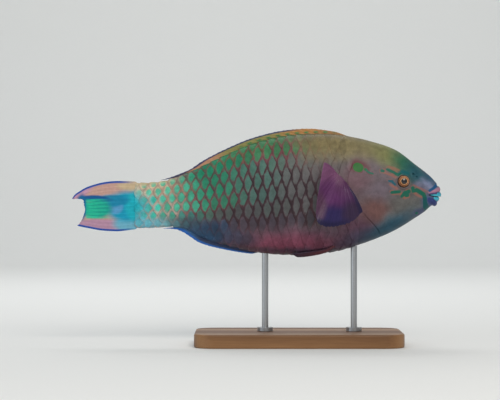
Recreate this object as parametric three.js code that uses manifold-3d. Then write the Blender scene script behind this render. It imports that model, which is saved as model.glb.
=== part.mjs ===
// Life-size still model of a parrotfish on a plain display stand.
// Millimetres, +Z up, head towards +X, the fish's right side towards -Y, mirror plane at Y = 0.
// The origin is on the floor, below the middle of the fish's length. Heights are given from the body's axis.
import * as THREE from "three";
import { mergeVertices } from "three/addons/utils/BufferGeometryUtils.js";
import Module from "manifold-3d";

const wasm = await Module();
wasm.setup();
const { Manifold } = wasm;

// Driving dimensions of the fish
const axisHeight = 124; // the body's axis above the floor
const gap = 0.3; // clearance between neighbouring pieces
const snoutFront = 146.2; // front of the head's core, behind the lips
const tailRoot = -97; // end of the tail stem
const stemStart = -56; // where the trunk narrows to the tail stem
const farOff = 200; // beyond the fish in every direction
const tall = 59;
const stationStep = 6.8; // spacing of the body's sections
const bodyAround = 28; // corners of each section

// Driving dimensions of the stand
const base = { centre: 34, length: 168, width: 92, thick: 11, corner: 16, edge: 1.2 };
const post = { front: 79, rear: 7, radius: 2.6, collar: 6.4, collarHigh: 3 };

// Body outline: [place along the body, distance from the axis]
const backLine = smooth([
  [-99, 8.2], [-86, 7.9], [-74, 9.3], [-54, 16.4], [-46, 20.2], [-29, 28.5], [-5, 38.9], [19, 45.3],
  [44, 47.8],
  [68, 46.9], [92, 41.4], [113, 34.1], [129, 22.3], [141, 12.8], [147, 6.2],
]);
const bellyLine = smooth([
  [-99, 29.8], [-82, 28.9], [-70, 28.4], [-58, 29.8], [-46, 36.4], [-29, 42.3], [-5, 48.1], [19, 50.8],
  [44, 50.7], [68, 47.5], [92, 39.8], [113, 30.7], [129, 20.9], [136.8, 15.6], [141, 11.8], [147, 8],
]);
const midLine = smooth([[-99, -10.8], [-54, -8.5], [-5, -4], [44, -2], [92, -2.6], [129, -1.5], [147, -1]]);
const halfWidth = smooth([
  [-99, 4.1], [-86, 5.2], [-70, 7.2], [-54, 10], [-29, 15], [-5, 19.2], [19, 22], [44, 23.2], [68, 23.1],
  [92, 21], [113, 17.2], [129, 13], [141, 8.9], [147, 6],
]);
const backKeel = 1.18; // above 1 narrows the section towards the back
const bellyKeel = 0.94; // below 1 fills the section towards the belly

// Gill opening and the front edge of the gill cover: [height, place along the body]
const gillLine = smooth([
  [-60, 107], [-45, 104], [-36, 100.5], [-29, 96.5], [-22, 90], [-15, 83.7], [-8, 79], [0, 74.8], [8, 72.6],
  [14, 73.4], [24, 77], [60, 77],
]);
const cheekLine = smooth([[-40, 116], [-30, 110], [-22, 105], [-10, 101], [0, 99.5], [24, 98]]);
const cover = { top: 21, bottom: -33, thick: 2.6, proud: 0.6, from: 60, to: 125, inner: 1.6 };

// Mouth, lips and beak
const mouthCorner = { x: 139, upper: -2.1, lower: -2.7 };
const mouthFront = { upper: -0.9, lower: -6.3 };
const jawHinge = 131; // where the seam of the lower jaw meets the throat
const upperLip = {
  front: 146.8, height: 2, width: 7.2, high: 2.9, deep: 2.4, cornerHeight: -0.4, cornerSize: 0.45,
};
const lowerLip = {
  front: 144.4, height: -8.9, width: 6.7, high: 2.7, deep: 2.2, cornerHeight: -4, cornerSize: 0.45,
};
const upperBeak = { front: 150, width: 7.4, root: 1.3, edge: -3.8, cornerEdge: -2.9, groove: 0.4 };
const lowerBeak = { front: 148.5, width: 6.6, root: -8.4, edge: -4.3, cornerEdge: -3.7, groove: 0.4 };
const beakCentre = 139.6;
// Section of a beak plate: [depth behind its front, share of the way from root to cutting edge]
const beakSection = [[1.9, 0], [0.4, 0.4], [0, 0.72], [0.3, 1], [0.9, 1], [2.6, 0.55], [3.3, 0]];

// Eye, its raised rim and the nostrils
const eye = { x: 118.2, height: 8.4, radius: 6.2, proud: 1.9 };
const rim = { radius: 5.5, thick: 1.15, proud: 0.35, yaw: 0.24, roll: 0.2 };
const nostrils = [{ x: 129.2, height: 12.4, radius: 0.8 }, { x: 126.6, height: 14.6, radius: 1.1 }];

// Tail fin: heights of its upper and lower edges, and how far back each ray reaches, by its share of the fan
const tailTop = smooth([
  [-150, -5.7], [-147.4, -2], [-143.3, 0.8], [-139.3, 3.2], [-135.2, 4.9], [-127, 7.3], [-119, 8.6],
  [-110.8, 8.9],
  [-97, 8.4],
]);
const tailBottom = smooth([
  [-146, -27.2], [-143.3, -28], [-135.2, -29.6], [-127, -31.1], [-119, -31.7], [-110.8, -31.8], [-97, -30.1],
]);
const tailReach = smooth([
  [0, -150], [0.08, -149], [0.15, -147.4], [0.2, -145.2], [0.25, -142.4], [0.3, -141], [0.45, -140.1],
  [0.55, -139.4], [0.66, -140.4], [0.78, -141.6], [0.9, -143.6], [1, -145.8],
]);
const tail = { rays: 13, rows: 6, ridge: 0.34, notch: 0.012, half: 0.42, thinning: 4.6 };

// Dorsal and anal fins, folded back along the body: each ray leans over the next
const dorsal = { front: 79, rear: -50, leanFront: 14, leanRear: 29, rays: 19 };
const dorsalRise = smooth([
  [-80, 1.3], [-66, 1.6], [-54, 2], [-46, 3.8], [-30, 4.6], [0, 4.4], [27, 4.1], [44, 3.7],
  [56, 2.4], [66, 1.3],
]);
const anal = { front: 6, rear: -53, leanFront: 10, leanRear: 24, rays: 12 };
const analDrop = smooth([
  [-78, 1.4], [-66, 1.8], [-58, 4], [-53, 4.7], [-46, 5], [-30, 3.9], [-14, 2.7], [0, 1.6],
]);
const folded = { rows: 3, ridge: 0.3, notch: 0.02, sink: 1.8, rootHalf: 1.25, tipHalf: 0.45 };

// Pectoral fin, swept down and spread: where the tip of each ray lies, by its share of the fan
const pectoral = {
  rootFront: { x: 71.4, height: 6.6 }, rootRear: { x: 62.6, height: 16.4 }, sink: 3.2,
  x: smooth([
    [0, 82.6], [0.15, 74.5], [0.3, 64.2], [0.45, 54], [0.6, 47.6], [0.75, 47], [0.88, 50], [1, 53.6],
  ]),
  height: smooth([
    [0, -15.4], [0.15, -23.5], [0.3, -27.2], [0.45, -27.7], [0.6, -23.5], [0.75, -11], [0.88, 6], [1, 23.4],
  ]),
  out: smooth([[0, 41], [0.15, 38], [0.3, 32], [0.45, 25], [0.6, 21.5], [0.75, 20], [0.88, 18], [1, 14]]),
  rays: 12, rows: 4, ridge: 0.28, notch: 0.025, rootHalf: 1.15, tipHalf: 0.38, bow: 3,
};
const pectoralLobe = { size: [5.4, 3.2, 7], shift: 0.4 };

// Pelvic fin, folded back along the belly: turns are shares of half a turn from the back
const pelvic = {
  front: 66, root: 5, length: 38, inner: 27, turn: 0.845, sweep: 0.035, rootTurn: 0.035, spread: 0.055,
  sink: 1.8, lift: 1.5, rise: 0.5, rays: 6, rows: 4, ridge: 0.3, notch: 0.03, rootHalf: 1.2, tipHalf: 0.42,
};

// A smooth curve through [place, value] knots, level beyond its ends.
function smooth(knots) {
  const last = knots.length - 1;
  const slopes = knots.map((_, i) => {
    const before = knots[Math.max(0, i - 1)];
    const after = knots[Math.min(last, i + 1)];
    return (after[1] - before[1]) / (after[0] - before[0]);
  });
  return (place) => {
    const at = Math.min(Math.max(place, knots[0][0]), knots[last][0]);
    let i = 0;
    while (i < last - 1 && at > knots[i + 1][0]) i += 1;
    const span = knots[i + 1][0] - knots[i][0];
    const t = (at - knots[i][0]) / span;
    const level = mix(knots[i][1], knots[i + 1][1], t * t * (3 - 2 * t));
    return level + span * t * (1 - t) * (slopes[i] * (1 - t) - slopes[i + 1] * t);
  };
}

function mix(a, b, t) {
  return a + (b - a) * t;
}

// Distance from the middle of a section to its back or belly.
function sectionReach(x, above) {
  return above ? backLine(x) - midLine(x) : bellyLine(x) + midLine(x);
}

// A point of the skin at a place and a turn round the body: 0 at the back, half a turn at the belly,
// the left side first. grow moves it outwards.
function skinPoint(x, turn, grow = 0) {
  const s = Math.sin(turn);
  const c = Math.cos(turn);
  const y = (halfWidth(x) + grow) * Math.sign(s) * Math.abs(s) ** (c > 0 ? backKeel : bellyKeel);
  return new THREE.Vector3(x, y, axisHeight + midLine(x) + (sectionReach(x, c > 0) + grow) * c);
}

// Half width of the body at a place and a height.
function sideAt(x, height) {
  const above = height > midLine(x);
  const c = Math.min(Math.abs(height - midLine(x)) / sectionReach(x, above), 1);
  return halfWidth(x) * Math.sqrt(1 - c * c) ** (above ? backKeel : bellyKeel);
}

// A solid from points and faces, turned outwards if its faces point in.
function solidOf(points, faces) {
  const vertProperties = new Float32Array(points.flatMap((p) => [p.x, p.y, p.z]));
  const build = (order) => new Manifold(
    new wasm.Mesh({ numProp: 3, vertProperties, triVerts: new Uint32Array(order) }),
  );
  const made = build(faces);
  if (made.volume() > 0) return made;
  const turned = [];
  for (let i = 0; i < faces.length; i += 3) turned.push(faces[i], faces[i + 2], faces[i + 1]);
  return build(turned);
}

// A solid from a closed surface.
function fromGeometry(geometry) {
  const bare = new THREE.BufferGeometry().setAttribute("position", geometry.getAttribute("position"));
  if (geometry.index) bare.setIndex(geometry.index);
  const merged = mergeVertices(bare, 1e-3);
  const position = merged.getAttribute("position");
  const points = [];
  for (let i = 0; i < position.count; i += 1) {
    points.push(new THREE.Vector3().fromBufferAttribute(position, i));
  }
  return solidOf(points, [...merged.index.array]);
}

// A solid from rings of points, each ring one closed loop, capped at both ends.
function ringSolid(rings) {
  const around = rings[0].length;
  const points = rings.flat();
  const faces = [];
  for (let i = 0; i < rings.length - 1; i += 1) {
    for (let j = 0; j < around; j += 1) {
      const k = (j + 1) % around;
      const [a, b, c, d] = [i * around + j, i * around + k, (i + 1) * around + k, (i + 1) * around + j];
      faces.push(a, b, c, a, c, d);
    }
  }
  const lastStart = (rings.length - 1) * around;
  for (const [ring, start, first] of [[rings[0], 0, true], [rings.at(-1), lastStart, false]]) {
    const centre = points.length;
    points.push(ring.reduce((sum, p) => sum.add(p), new THREE.Vector3()).divideScalar(around));
    for (let j = 0; j < around; j += 1) {
      const k = (j + 1) % around;
      faces.push(centre, start + (first ? k : j), start + (first ? j : k));
    }
  }
  return solidOf(points, faces);
}

// The body between two places, grown outwards by grow.
function bodySolid(from, to, grow = 0, around = bodyAround) {
  const steps = Math.round((to - from) / stationStep);
  const rings = [];
  for (let i = 0; i <= steps; i += 1) {
    const x = mix(from, to, i / steps);
    rings.push(Array.from({ length: around }, (_, j) => skinPoint(x, (2 * Math.PI * j) / around, grow)));
  }
  return ringSolid(rings);
}

// A prism across the body from an outline of [place, height] corners, between two Y limits.
function sidePrism(outline, fromY = -tall, toY = tall) {
  const shape = new THREE.Shape(outline.map(([x, height]) => new THREE.Vector2(x, height)));
  const geometry = new THREE.ExtrudeGeometry(shape, { depth: toY - fromY, bevelEnabled: false });
  geometry.rotateX(Math.PI / 2).translate(0, toY, axisHeight);
  return fromGeometry(geometry);
}

// Corners along a line that gives a place for each height, shifted along the body.
function lineCorners(line, from, to, shift, steps) {
  return Array.from({ length: steps + 1 }, (_, i) => {
    const height = mix(from, to, i / steps);
    return [line(height) + shift, height];
  });
}

// A fin: place(along, across) is its middle surface, along a ray from root to tip and across the rays, and
// half(along, across) its half thickness. The rays are ridges in both faces, which are split alike.
function finSolid({ rays, rows, ridge, notch }, place, half) {
  const rayProfile = [[0, 0], [0.3, 0], [0.5, 1], [0.7, 0]];
  const columns = [];
  for (let ray = 0; ray < rays; ray += 1) {
    for (const [offset, raised] of rayProfile) {
      const split = offset === 0 && ray > 0;
      columns.push({ across: (ray + offset) / rays, raised, reach: split ? 1 - notch : 1 });
    }
  }
  columns.push({ across: 1, raised: 0, reach: 1 });
  const probe = 1e-3;
  const upper = [];
  const under = [];
  for (const { across, raised, reach } of columns) {
    for (let row = 0; row <= rows; row += 1) {
      const along = (row / rows) * reach;
      const alongStep = place(Math.min(along + probe, 1), across);
      alongStep.sub(place(Math.max(along - probe, 0), across));
      const acrossStep = place(along, Math.min(across + probe, 1));
      acrossStep.sub(place(along, Math.max(across - probe, 0)));
      const normal = alongStep.cross(acrossStep).normalize();
      const thickness = half(along, across) + ridge * raised * (1 - 0.45 * along);
      upper.push(place(along, across).addScaledVector(normal, thickness));
      under.push(place(along, across).addScaledVector(normal, -thickness));
    }
  }
  const at = (i, j) => i * (rows + 1) + j;
  const shift = upper.length;
  const faces = [];
  for (let i = 0; i < columns.length - 1; i += 1) {
    for (let j = 0; j < rows; j += 1) {
      const [a, b, c, d] = [at(i, j), at(i + 1, j), at(i + 1, j + 1), at(i, j + 1)];
      faces.push(a, b, c, a, c, d, shift + a, shift + c, shift + b, shift + a, shift + d, shift + c);
    }
  }
  const edge = [];
  for (let i = 0; i < columns.length; i += 1) edge.push(at(i, 0));
  for (let j = 1; j <= rows; j += 1) edge.push(at(columns.length - 1, j));
  for (let i = columns.length - 2; i >= 0; i -= 1) edge.push(at(i, rows));
  for (let j = rows - 1; j > 0; j -= 1) edge.push(at(0, j));
  edge.forEach((a, i) => {
    const b = edge[(i + 1) % edge.length];
    faces.push(a, shift + a, shift + b, a, shift + b, b);
  });
  return solidOf([...upper, ...under], faces);
}

function ball(x, y, height, size, detail) {
  const geometry = new THREE.SphereGeometry(1, detail, Math.round(detail * 0.7));
  geometry.rotateX(Math.PI / 2).scale(...size).translate(x, y, axisHeight + height);
  return fromGeometry(geometry);
}

function column(x, radius, from, to, sides = 20) {
  const geometry = new THREE.CylinderGeometry(radius, radius, to - from, sides);
  geometry.rotateX(Math.PI / 2).translate(x, 0, (from + to) / 2);
  return fromGeometry(geometry);
}

// The largest closed surface of a solid, without loose scraps.
function largest(solid) {
  return solid.decompose().sort((a, b) => b.volume() - a.volume())[0];
}

function mirrored(solid) {
  return solid.mirror([0, 1, 0]);
}

// A lip: a rounded roll round the front of a jaw, from one mouth corner to the other.
function lipRoll(lip) {
  const steps = 14;
  const sides = 8;
  const rings = [];
  for (let i = 0; i <= steps; i += 1) {
    const turn = mix(-0.5, 0.5, i / steps) * Math.PI;
    const forward = Math.max(Math.cos(turn), 0);
    const size = mix(lip.cornerSize, 1, forward ** 0.8);
    const height = mix(lip.cornerHeight, lip.height, forward ** 0.9);
    rings.push(Array.from({ length: sides }, (_, j) => {
      const a = (2 * Math.PI * j) / sides;
      const out = lip.deep * size * Math.cos(a);
      return new THREE.Vector3(
        mix(mouthCorner.x, lip.front, forward) + out * forward,
        (lip.width + out) * Math.sin(turn),
        axisHeight + height + lip.high * size * Math.sin(a),
      );
    }));
  }
  return ringSolid(rings);
}

// A beak plate: a crescent of fused teeth with a groove down its middle, grown outwards by grow.
function beakPlate(plate, grow = 0) {
  const steps = 18;
  const down = Math.sign(plate.edge - plate.root);
  const rings = [];
  for (let i = 0; i <= steps; i += 1) {
    const turn = mix(-0.47, 0.47, i / steps) * Math.PI * (1 + grow / 30);
    const forward = Math.cos(turn);
    const edge = mix(plate.cornerEdge, plate.edge, forward ** 1.2) + grow * down;
    const root = plate.root - grow * down;
    rings.push(beakSection.map(([depth, share], j) => {
      const spread = j < 4 ? grow : -grow;
      const groove = i === steps / 2 && j > 0 && j < 4 ? plate.groove : 0;
      const inset = depth + groove - spread;
      return new THREE.Vector3(
        beakCentre + (plate.front - beakCentre - inset) * forward,
        (plate.width - inset) * Math.sin(turn),
        axisHeight + mix(root, edge, share),
      );
    }));
  }
  return ringSolid(rings);
}

// Body, and the room it needs in its neighbours
const body = bodySolid(tailRoot, snoutFront);
const bodyRoom = bodySolid(tailRoot - 2, snoutFront, gap);

// Gill covers: shells that stand a little proud of the head, with a step at the gill opening
const coverOutline = (margin) => [
  ...lineCorners(gillLine, cover.bottom - margin, cover.top + margin, -margin, 14),
  ...lineCorners(cheekLine, cover.top + margin, cover.bottom - margin, margin, 8),
];
const rightSide = sidePrism([[0, -tall], [farOff, -tall], [farOff, tall], [0, tall]], -tall, -cover.inner);
const isthmusSide = [[0, -tall], [farOff, -tall], [farOff, tall], [0, tall]];
const isthmus = sidePrism(isthmusSide, gap - cover.inner, cover.inner - gap);
const coverCore = (inset) => bodySolid(cover.from, cover.to, -inset);
const coverRight = largest(
  bodySolid(cover.from, cover.to, cover.proud)
    .intersect(sidePrism(coverOutline(0)))
    .subtract(coverCore(cover.thick))
    .intersect(rightSide),
);
const coverSlot = sidePrism(coverOutline(gap)).subtract(coverCore(cover.thick + gap)).subtract(isthmus);
const coverRoom = bodySolid(cover.from, cover.to, cover.proud + gap).intersect(sidePrism(coverOutline(gap)));

// Head, with raised eye rims, sockets, nostrils and the upper lip
const eyeY = sideAt(eye.x, eye.height) + eye.proud - eye.radius;
const eyeBall = (grow) => ball(eye.x, -eyeY, eye.height, Array(3).fill(eye.radius + grow), 16);
const rimRing = new THREE.TorusGeometry(rim.radius, rim.thick, 6, 22);
rimRing.rotateX(Math.PI / 2).rotateZ(rim.yaw).rotateX(-rim.roll);
rimRing.translate(eye.x, rim.proud - sideAt(eye.x, eye.height), axisHeight + eye.height);
const rimRight = fromGeometry(rimRing);
const holesRight = nostrils.reduce(
  (sum, { x, height, radius }) => sum.add(ball(x, -sideAt(x, height), height, Array(3).fill(radius), 8)),
  eyeBall(gap),
);
const headCorners = [...lineCorners(gillLine, -tall, tall, 0, 24), [farOff, tall], [farOff, -tall]];
const headRegion = sidePrism(headCorners);
const wholeHead = body.intersect(headRegion);
const mouthAndJaw = sidePrism([
  [mouthCorner.x - gap, mouthCorner.upper], [snoutFront + 10, mouthFront.upper], [snoutFront + 10, -tall],
  [jawHinge - gap, -tall],
]);
const head = largest(
  wholeHead
    .add(lipRoll(upperLip))
    .add(rimRight)
    .add(mirrored(rimRight))
    .subtract(coverSlot)
    .subtract(mouthAndJaw)
    .subtract(holesRight)
    .subtract(mirrored(holesRight))
    .subtract(beakPlate(upperBeak, gap)),
);

// Lower jaw with its lip
const jawRegion = sidePrism([
  [mouthCorner.x, mouthCorner.lower], [snoutFront + 10, mouthFront.lower], [snoutFront + 10, -tall],
  [jawHinge, -tall],
]);
const jawCore = body.subtract(sidePrism([[143.6, -tall], [farOff, -tall], [farOff, tall], [143.6, tall]]));
const jaw = largest(
  jawCore
    .add(lipRoll(lowerLip))
    .intersect(jawRegion)
    .subtract(beakPlate(lowerBeak, gap)),
);

// Trunk and tail stem
const trunkRegion = sidePrism([
  ...lineCorners(gillLine, -tall, tall, -gap, 24), [stemStart + gap, tall], [stemStart + gap, -tall],
]);
const trunk = largest(body.intersect(trunkRegion));
const tailStem = bodySolid(tailRoot, stemStart);

// Fins
const tailFin = finSolid(
  tail,
  (along, across) => {
    const x = mix(tailRoot - gap, tailReach(across), along);
    return new THREE.Vector3(x, 0, axisHeight + mix(tailTop(x), tailBottom(x), across));
  },
  (along, across) => {
    const height = mix(backLine(tailRoot), -bellyLine(tailRoot), across);
    return mix(tail.half, Math.max(sideAt(tailRoot, height), tail.half), Math.exp(-tail.thinning * along));
  },
);

function foldedFin(fin, outline, rise, side) {
  const blade = finSolid(
    { ...folded, rays: fin.rays },
    (along, across) => {
      const root = mix(fin.front, fin.rear, across);
      const lean = mix(fin.leanFront, fin.leanRear, across);
      const x = root - lean * along;
      const lift = mix(-folded.sink, rise(root - lean), along);
      return new THREE.Vector3(x, 0, axisHeight + side * (outline(x) + lift));
    },
    (along) => mix(folded.rootHalf, folded.tipHalf, along),
  );
  return largest(blade.subtract(bodyRoom));
}

const pectoralFan = finSolid(
  pectoral,
  (along, across) => {
    const x = mix(pectoral.rootFront.x, pectoral.rootRear.x, across);
    const height = mix(pectoral.rootFront.height, pectoral.rootRear.height, across);
    const flank = sideAt(x, height);
    const root = new THREE.Vector3(x, pectoral.sink - flank, height);
    const tipY = -flank - pectoral.out(across);
    const tip = new THREE.Vector3(pectoral.x(across), tipY, pectoral.height(across));
    const bow = 4 * along * (1 - along) * (1 - 0.5 * across) * pectoral.bow;
    return root.lerp(tip, along).add(new THREE.Vector3(0, -bow, bow + axisHeight));
  },
  (along) => mix(pectoral.rootHalf, pectoral.tipHalf, Math.sqrt(along)),
);
const lobeX = (pectoral.rootFront.x + pectoral.rootRear.x) / 2;
const lobeHeight = (pectoral.rootFront.height + pectoral.rootRear.height) / 2;
const lobe = ball(lobeX, -sideAt(lobeX, lobeHeight) - pectoralLobe.shift, lobeHeight, pectoralLobe.size, 14);
const pectoralRight = largest(pectoralFan.add(lobe).subtract(bodyRoom).subtract(coverRoom));

const pelvicRight = largest(finSolid(
  pelvic,
  (along, across) => {
    const x = pelvic.front - pelvic.root * across - mix(pelvic.length, pelvic.inner, across) * along;
    const turn = pelvic.turn + pelvic.sweep * along + across * (pelvic.rootTurn + pelvic.spread * along);
    const risen = 1 - (1 - Math.min(along * 2.6, 1)) ** 2;
    const lift = mix(-pelvic.sink, pelvic.lift, risen) + pelvic.rise * along;
    return skinPoint(x, -Math.PI * turn, lift);
  },
  (along) => mix(pelvic.rootHalf, pelvic.tipHalf, along),
).subtract(bodyRoom));

// Stand: a rounded base and two posts with collars, cut to the belly
function baseBoard() {
  const [long, wide, r] = [base.length / 2 - base.edge, base.width / 2 - base.edge, base.corner];
  const shape = new THREE.Shape();
  shape.moveTo(-long + r, -wide).lineTo(long - r, -wide).absarc(long - r, -wide + r, r, -Math.PI / 2, 0);
  shape.lineTo(long, wide - r).absarc(long - r, wide - r, r, 0, Math.PI / 2);
  shape.lineTo(-long + r, wide).absarc(-long + r, wide - r, r, Math.PI / 2, Math.PI);
  shape.lineTo(-long, -wide + r).absarc(-long + r, -wide + r, r, Math.PI, Math.PI * 1.5);
  const bevel = { bevelThickness: base.edge, bevelSize: base.edge, bevelSegments: 2 };
  const depth = base.thick - 2 * base.edge;
  const geometry = new THREE.ExtrudeGeometry(shape, { depth, curveSegments: 5, ...bevel });
  return fromGeometry(geometry.translate(base.centre, 0, base.edge));
}

function postAt(x) {
  const foot = base.thick + gap;
  const collar = column(x, post.collar, foot, foot + post.collarHigh, 28);
  const rod = column(x, post.radius, foot, axisHeight).add(collar);
  return largest(rod.subtract(bodyRoom));
}

// Finished pieces
const fish = new THREE.Group();
fish.name = "parrotfish";

function addPiece(name, solid, colour, roughness, metalness = 0) {
  const { vertProperties, triVerts } = solid.getMesh();
  const geometry = new THREE.BufferGeometry();
  geometry.setAttribute("position", new THREE.BufferAttribute(new Float32Array(vertProperties), 3));
  geometry.setIndex(new THREE.BufferAttribute(new Uint32Array(triVerts), 1));
  geometry.computeVertexNormals();
  const material = new THREE.MeshStandardMaterial({ color: colour, roughness, metalness });
  const mesh = new THREE.Mesh(geometry, material);
  mesh.name = name;
  fish.add(mesh);
}

addPiece("head", head, "#7d7565", 0.42);
addPiece("lower_jaw", jaw, "#3f5f78", 0.42);
addPiece("gill_cover_right", coverRight, "#6f6c6a", 0.42);
addPiece("gill_cover_left", mirrored(coverRight), "#6f6c6a", 0.42);
addPiece("beak_upper", beakPlate(upperBeak), "#38a3b4", 0.25);
addPiece("beak_lower", beakPlate(lowerBeak), "#38a3b4", 0.25);
addPiece("eye_right", eyeBall(0), "#a9713f", 0.12);
addPiece("eye_left", mirrored(eyeBall(0)), "#a9713f", 0.12);
addPiece("trunk", trunk, "#56645a", 0.42);
addPiece("tail_stem", tailStem, "#7f8a72", 0.42);
addPiece("tail_fin", tailFin, "#3d8fa6", 0.45);
addPiece("dorsal_fin", foldedFin(dorsal, backLine, dorsalRise, 1), "#a07d5c", 0.45);
addPiece("anal_fin", foldedFin(anal, bellyLine, analDrop, -1), "#2f6483", 0.45);
addPiece("pectoral_fin_right", pectoralRight, "#5b3a63", 0.45);
addPiece("pectoral_fin_left", mirrored(pectoralRight), "#5b3a63", 0.45);
addPiece("pelvic_fin_right", pelvicRight, "#3f5570", 0.45);
addPiece("pelvic_fin_left", mirrored(pelvicRight), "#3f5570", 0.45);
addPiece("stand_base", baseBoard(), "#8a6a48", 0.5);
addPiece("stand_post_front", postAt(post.front), "#b9bcc0", 0.3, 1);
addPiece("stand_post_rear", postAt(post.rear), "#b9bcc0", 0.3, 1);

export default fish;
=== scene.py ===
import math
import bpy
import numpy as np
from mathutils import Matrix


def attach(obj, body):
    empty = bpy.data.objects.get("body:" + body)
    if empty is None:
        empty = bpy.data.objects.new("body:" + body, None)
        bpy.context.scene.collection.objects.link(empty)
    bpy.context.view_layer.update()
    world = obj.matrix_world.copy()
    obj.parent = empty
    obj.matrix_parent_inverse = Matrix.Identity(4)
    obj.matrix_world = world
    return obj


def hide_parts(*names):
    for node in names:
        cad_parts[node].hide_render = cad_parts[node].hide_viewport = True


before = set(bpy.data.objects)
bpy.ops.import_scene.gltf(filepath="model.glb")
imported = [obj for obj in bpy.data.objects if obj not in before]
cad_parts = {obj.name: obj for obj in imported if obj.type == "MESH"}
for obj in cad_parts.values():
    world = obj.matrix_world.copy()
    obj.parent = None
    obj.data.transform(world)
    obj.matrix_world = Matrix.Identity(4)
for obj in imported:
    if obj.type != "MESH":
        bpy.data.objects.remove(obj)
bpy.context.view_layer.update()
scene = bpy.context.scene
chance = np.random.default_rng(21)
mm = 0.001
axisHeight = 124  # the body's axis above the floor
print("frame loaded:", len(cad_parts), "solids")


# Small tools

def colour(hexValue):
    # linear colour from an sRGB hex value
    channels = [int(hexValue[i:i + 2], 16) / 255 for i in (1, 3, 5)]
    return [c / 12.92 if c <= 0.04045 else ((c + 0.055) / 1.055) ** 2.4 for c in channels] + [1.0]


def smoothLine(knots):
    # a smooth curve through (place, value) knots, level beyond its ends
    xs, ys = (np.array(v, float) for v in zip(*knots))
    index = np.arange(len(xs))
    before = np.clip(index - 1, 0, None)
    after = np.clip(index + 1, None, len(xs) - 1)
    slopes = (ys[after] - ys[before]) / (xs[after] - xs[before])

    def at(place):
        p = np.clip(place, xs[0], xs[-1])
        i = np.clip(np.searchsorted(xs, p, side="right") - 1, 0, len(xs) - 2)
        span = xs[i + 1] - xs[i]
        t = (p - xs[i]) / span
        level = ys[i] + (ys[i + 1] - ys[i]) * t * t * (3 - 2 * t)
        return level + span * t * (1 - t) * (slopes[i] * (1 - t) - slopes[i + 1] * t)

    return at


def mix(a, b, t):
    return a + (b - a) * t


def ease(low, high, value):
    t = np.clip((value - low) / (high - low), 0, 1)
    return t * t * (3 - 2 * t)


def band(low, high, soft, value):
    # 1 between low and high, softened at both ends
    return ease(low - soft, low + soft, value) * (1 - ease(high - soft, high + soft, value))


def repeats(millimetres):
    # how often a pattern of this size repeats in a metre
    return 1000 / millimetres


# settings that many nodes share
multiply = {"operation": "MULTIPLY"}
multiplyAdd = {"operation": "MULTIPLY_ADD"}
length = {"operation": "LENGTH"}
sine = {"operation": "SINE"}
smooth = {"interpolation_type": "SMOOTHSTEP"}
colourMix = {"data_type": "RGBA"}
sides = ((-1, "right"), (1, "left"))  # the sign of y, and the side's name


def addNode(tree, kind, settings=None, links=None):
    # settings: attribute or input name (or number) to value
    # links: input name (or number) to a socket, or to a node, which stands for its first output in use
    node = tree.nodes.new(kind if kind.startswith("Node") else "ShaderNode" + kind)
    for key, value in (settings or {}).items():
        if isinstance(key, str) and hasattr(node, key):
            setattr(node, key, value)
        else:
            node.inputs[key].default_value = value
    for key, source in (links or {}).items():
        isSocket = isinstance(source, bpy.types.NodeSocket)
        socket = source if isSocket else next(output for output in source.outputs if output.enabled)
        tree.links.new(socket, node.inputs[key])
    return node


def newMaterial(name):
    material = bpy.data.materials.new(name)
    material.use_nodes = True
    material.node_tree.nodes.clear()
    return material, material.node_tree


def finishMaterial(tree, settings, links):
    # a Principled shader with its output
    body = addNode(tree, "BsdfPrincipled", settings, links)
    addNode(tree, "OutputMaterial", links={"Surface": body})


def newPiece(name, points, faces, material, replaced=()):
    # a mesh piece from points in millimetres with heights from the floor
    mesh = bpy.data.meshes.new(name)
    points = np.asarray(points, float) * mm
    faces = np.asarray(faces, int)
    corners = faces.shape[1]
    mesh.vertices.add(len(points))
    mesh.vertices.foreach_set("co", points.ravel())
    mesh.loops.add(faces.size)
    mesh.loops.foreach_set("vertex_index", faces.ravel())
    mesh.polygons.add(len(faces))
    mesh.polygons.foreach_set("loop_start", np.arange(len(faces)) * corners)
    mesh.polygons.foreach_set("use_smooth", np.ones(len(faces), bool))
    mesh.update(calc_edges=True)
    mesh.validate()
    piece = bpy.data.objects.new(name, mesh)
    scene.collection.objects.link(piece)
    if material:
        mesh.materials.append(material)
    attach(piece, "root")
    if replaced:
        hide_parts(*replaced)
    return piece


def setAttribute(piece, name, values):
    # one number or one vector at each vertex, for the paint to read
    values = np.asarray(values, float)
    kind = "FLOAT_VECTOR" if values.ndim == 2 else "FLOAT"
    layer = piece.data.attributes.new(name, kind, "POINT")
    layer.data.foreach_set("vector" if values.ndim == 2 else "value", values.ravel())


def setBakeMap(piece, u, v):
    # the bake's own map, from two numbers at each vertex
    layer = piece.data.uv_layers.new(name="OFBake")
    order = np.empty(len(piece.data.loops), int)
    piece.data.loops.foreach_get("vertex_index", order)
    layer.data.foreach_set("uv", np.column_stack([u[order], v[order]]).ravel())


def gridFaces(rows, columns, closed=False):
    # quads of a grid of points; closed joins the last column to the first
    wide = columns if closed else columns - 1
    i, j = np.meshgrid(np.arange(rows - 1), np.arange(wide), indexing="ij")
    here, beside = i * columns + j, i * columns + (j + 1) % columns
    return np.stack([here, beside, beside + columns, here + columns], -1).reshape(-1, 4)


def closedSheet(rows, columns):
    # faces of two stacked grids, the second below the first, joined all round
    shell = gridFaces(rows, columns)
    rimLine = np.concatenate([
        np.arange(columns), np.arange(1, rows) * columns + columns - 1,
        (rows - 1) * columns + np.arange(columns - 2, -1, -1), np.arange(rows - 2, 0, -1) * columns])
    nextRim = np.roll(rimLine, -1)
    wall = np.stack([rimLine, rimLine + rows * columns, nextRim + rows * columns, nextRim], -1)
    return np.vstack([shell, shell[:, ::-1] + rows * columns, wall])


# The fish's shape: the same lines as its solids

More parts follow.
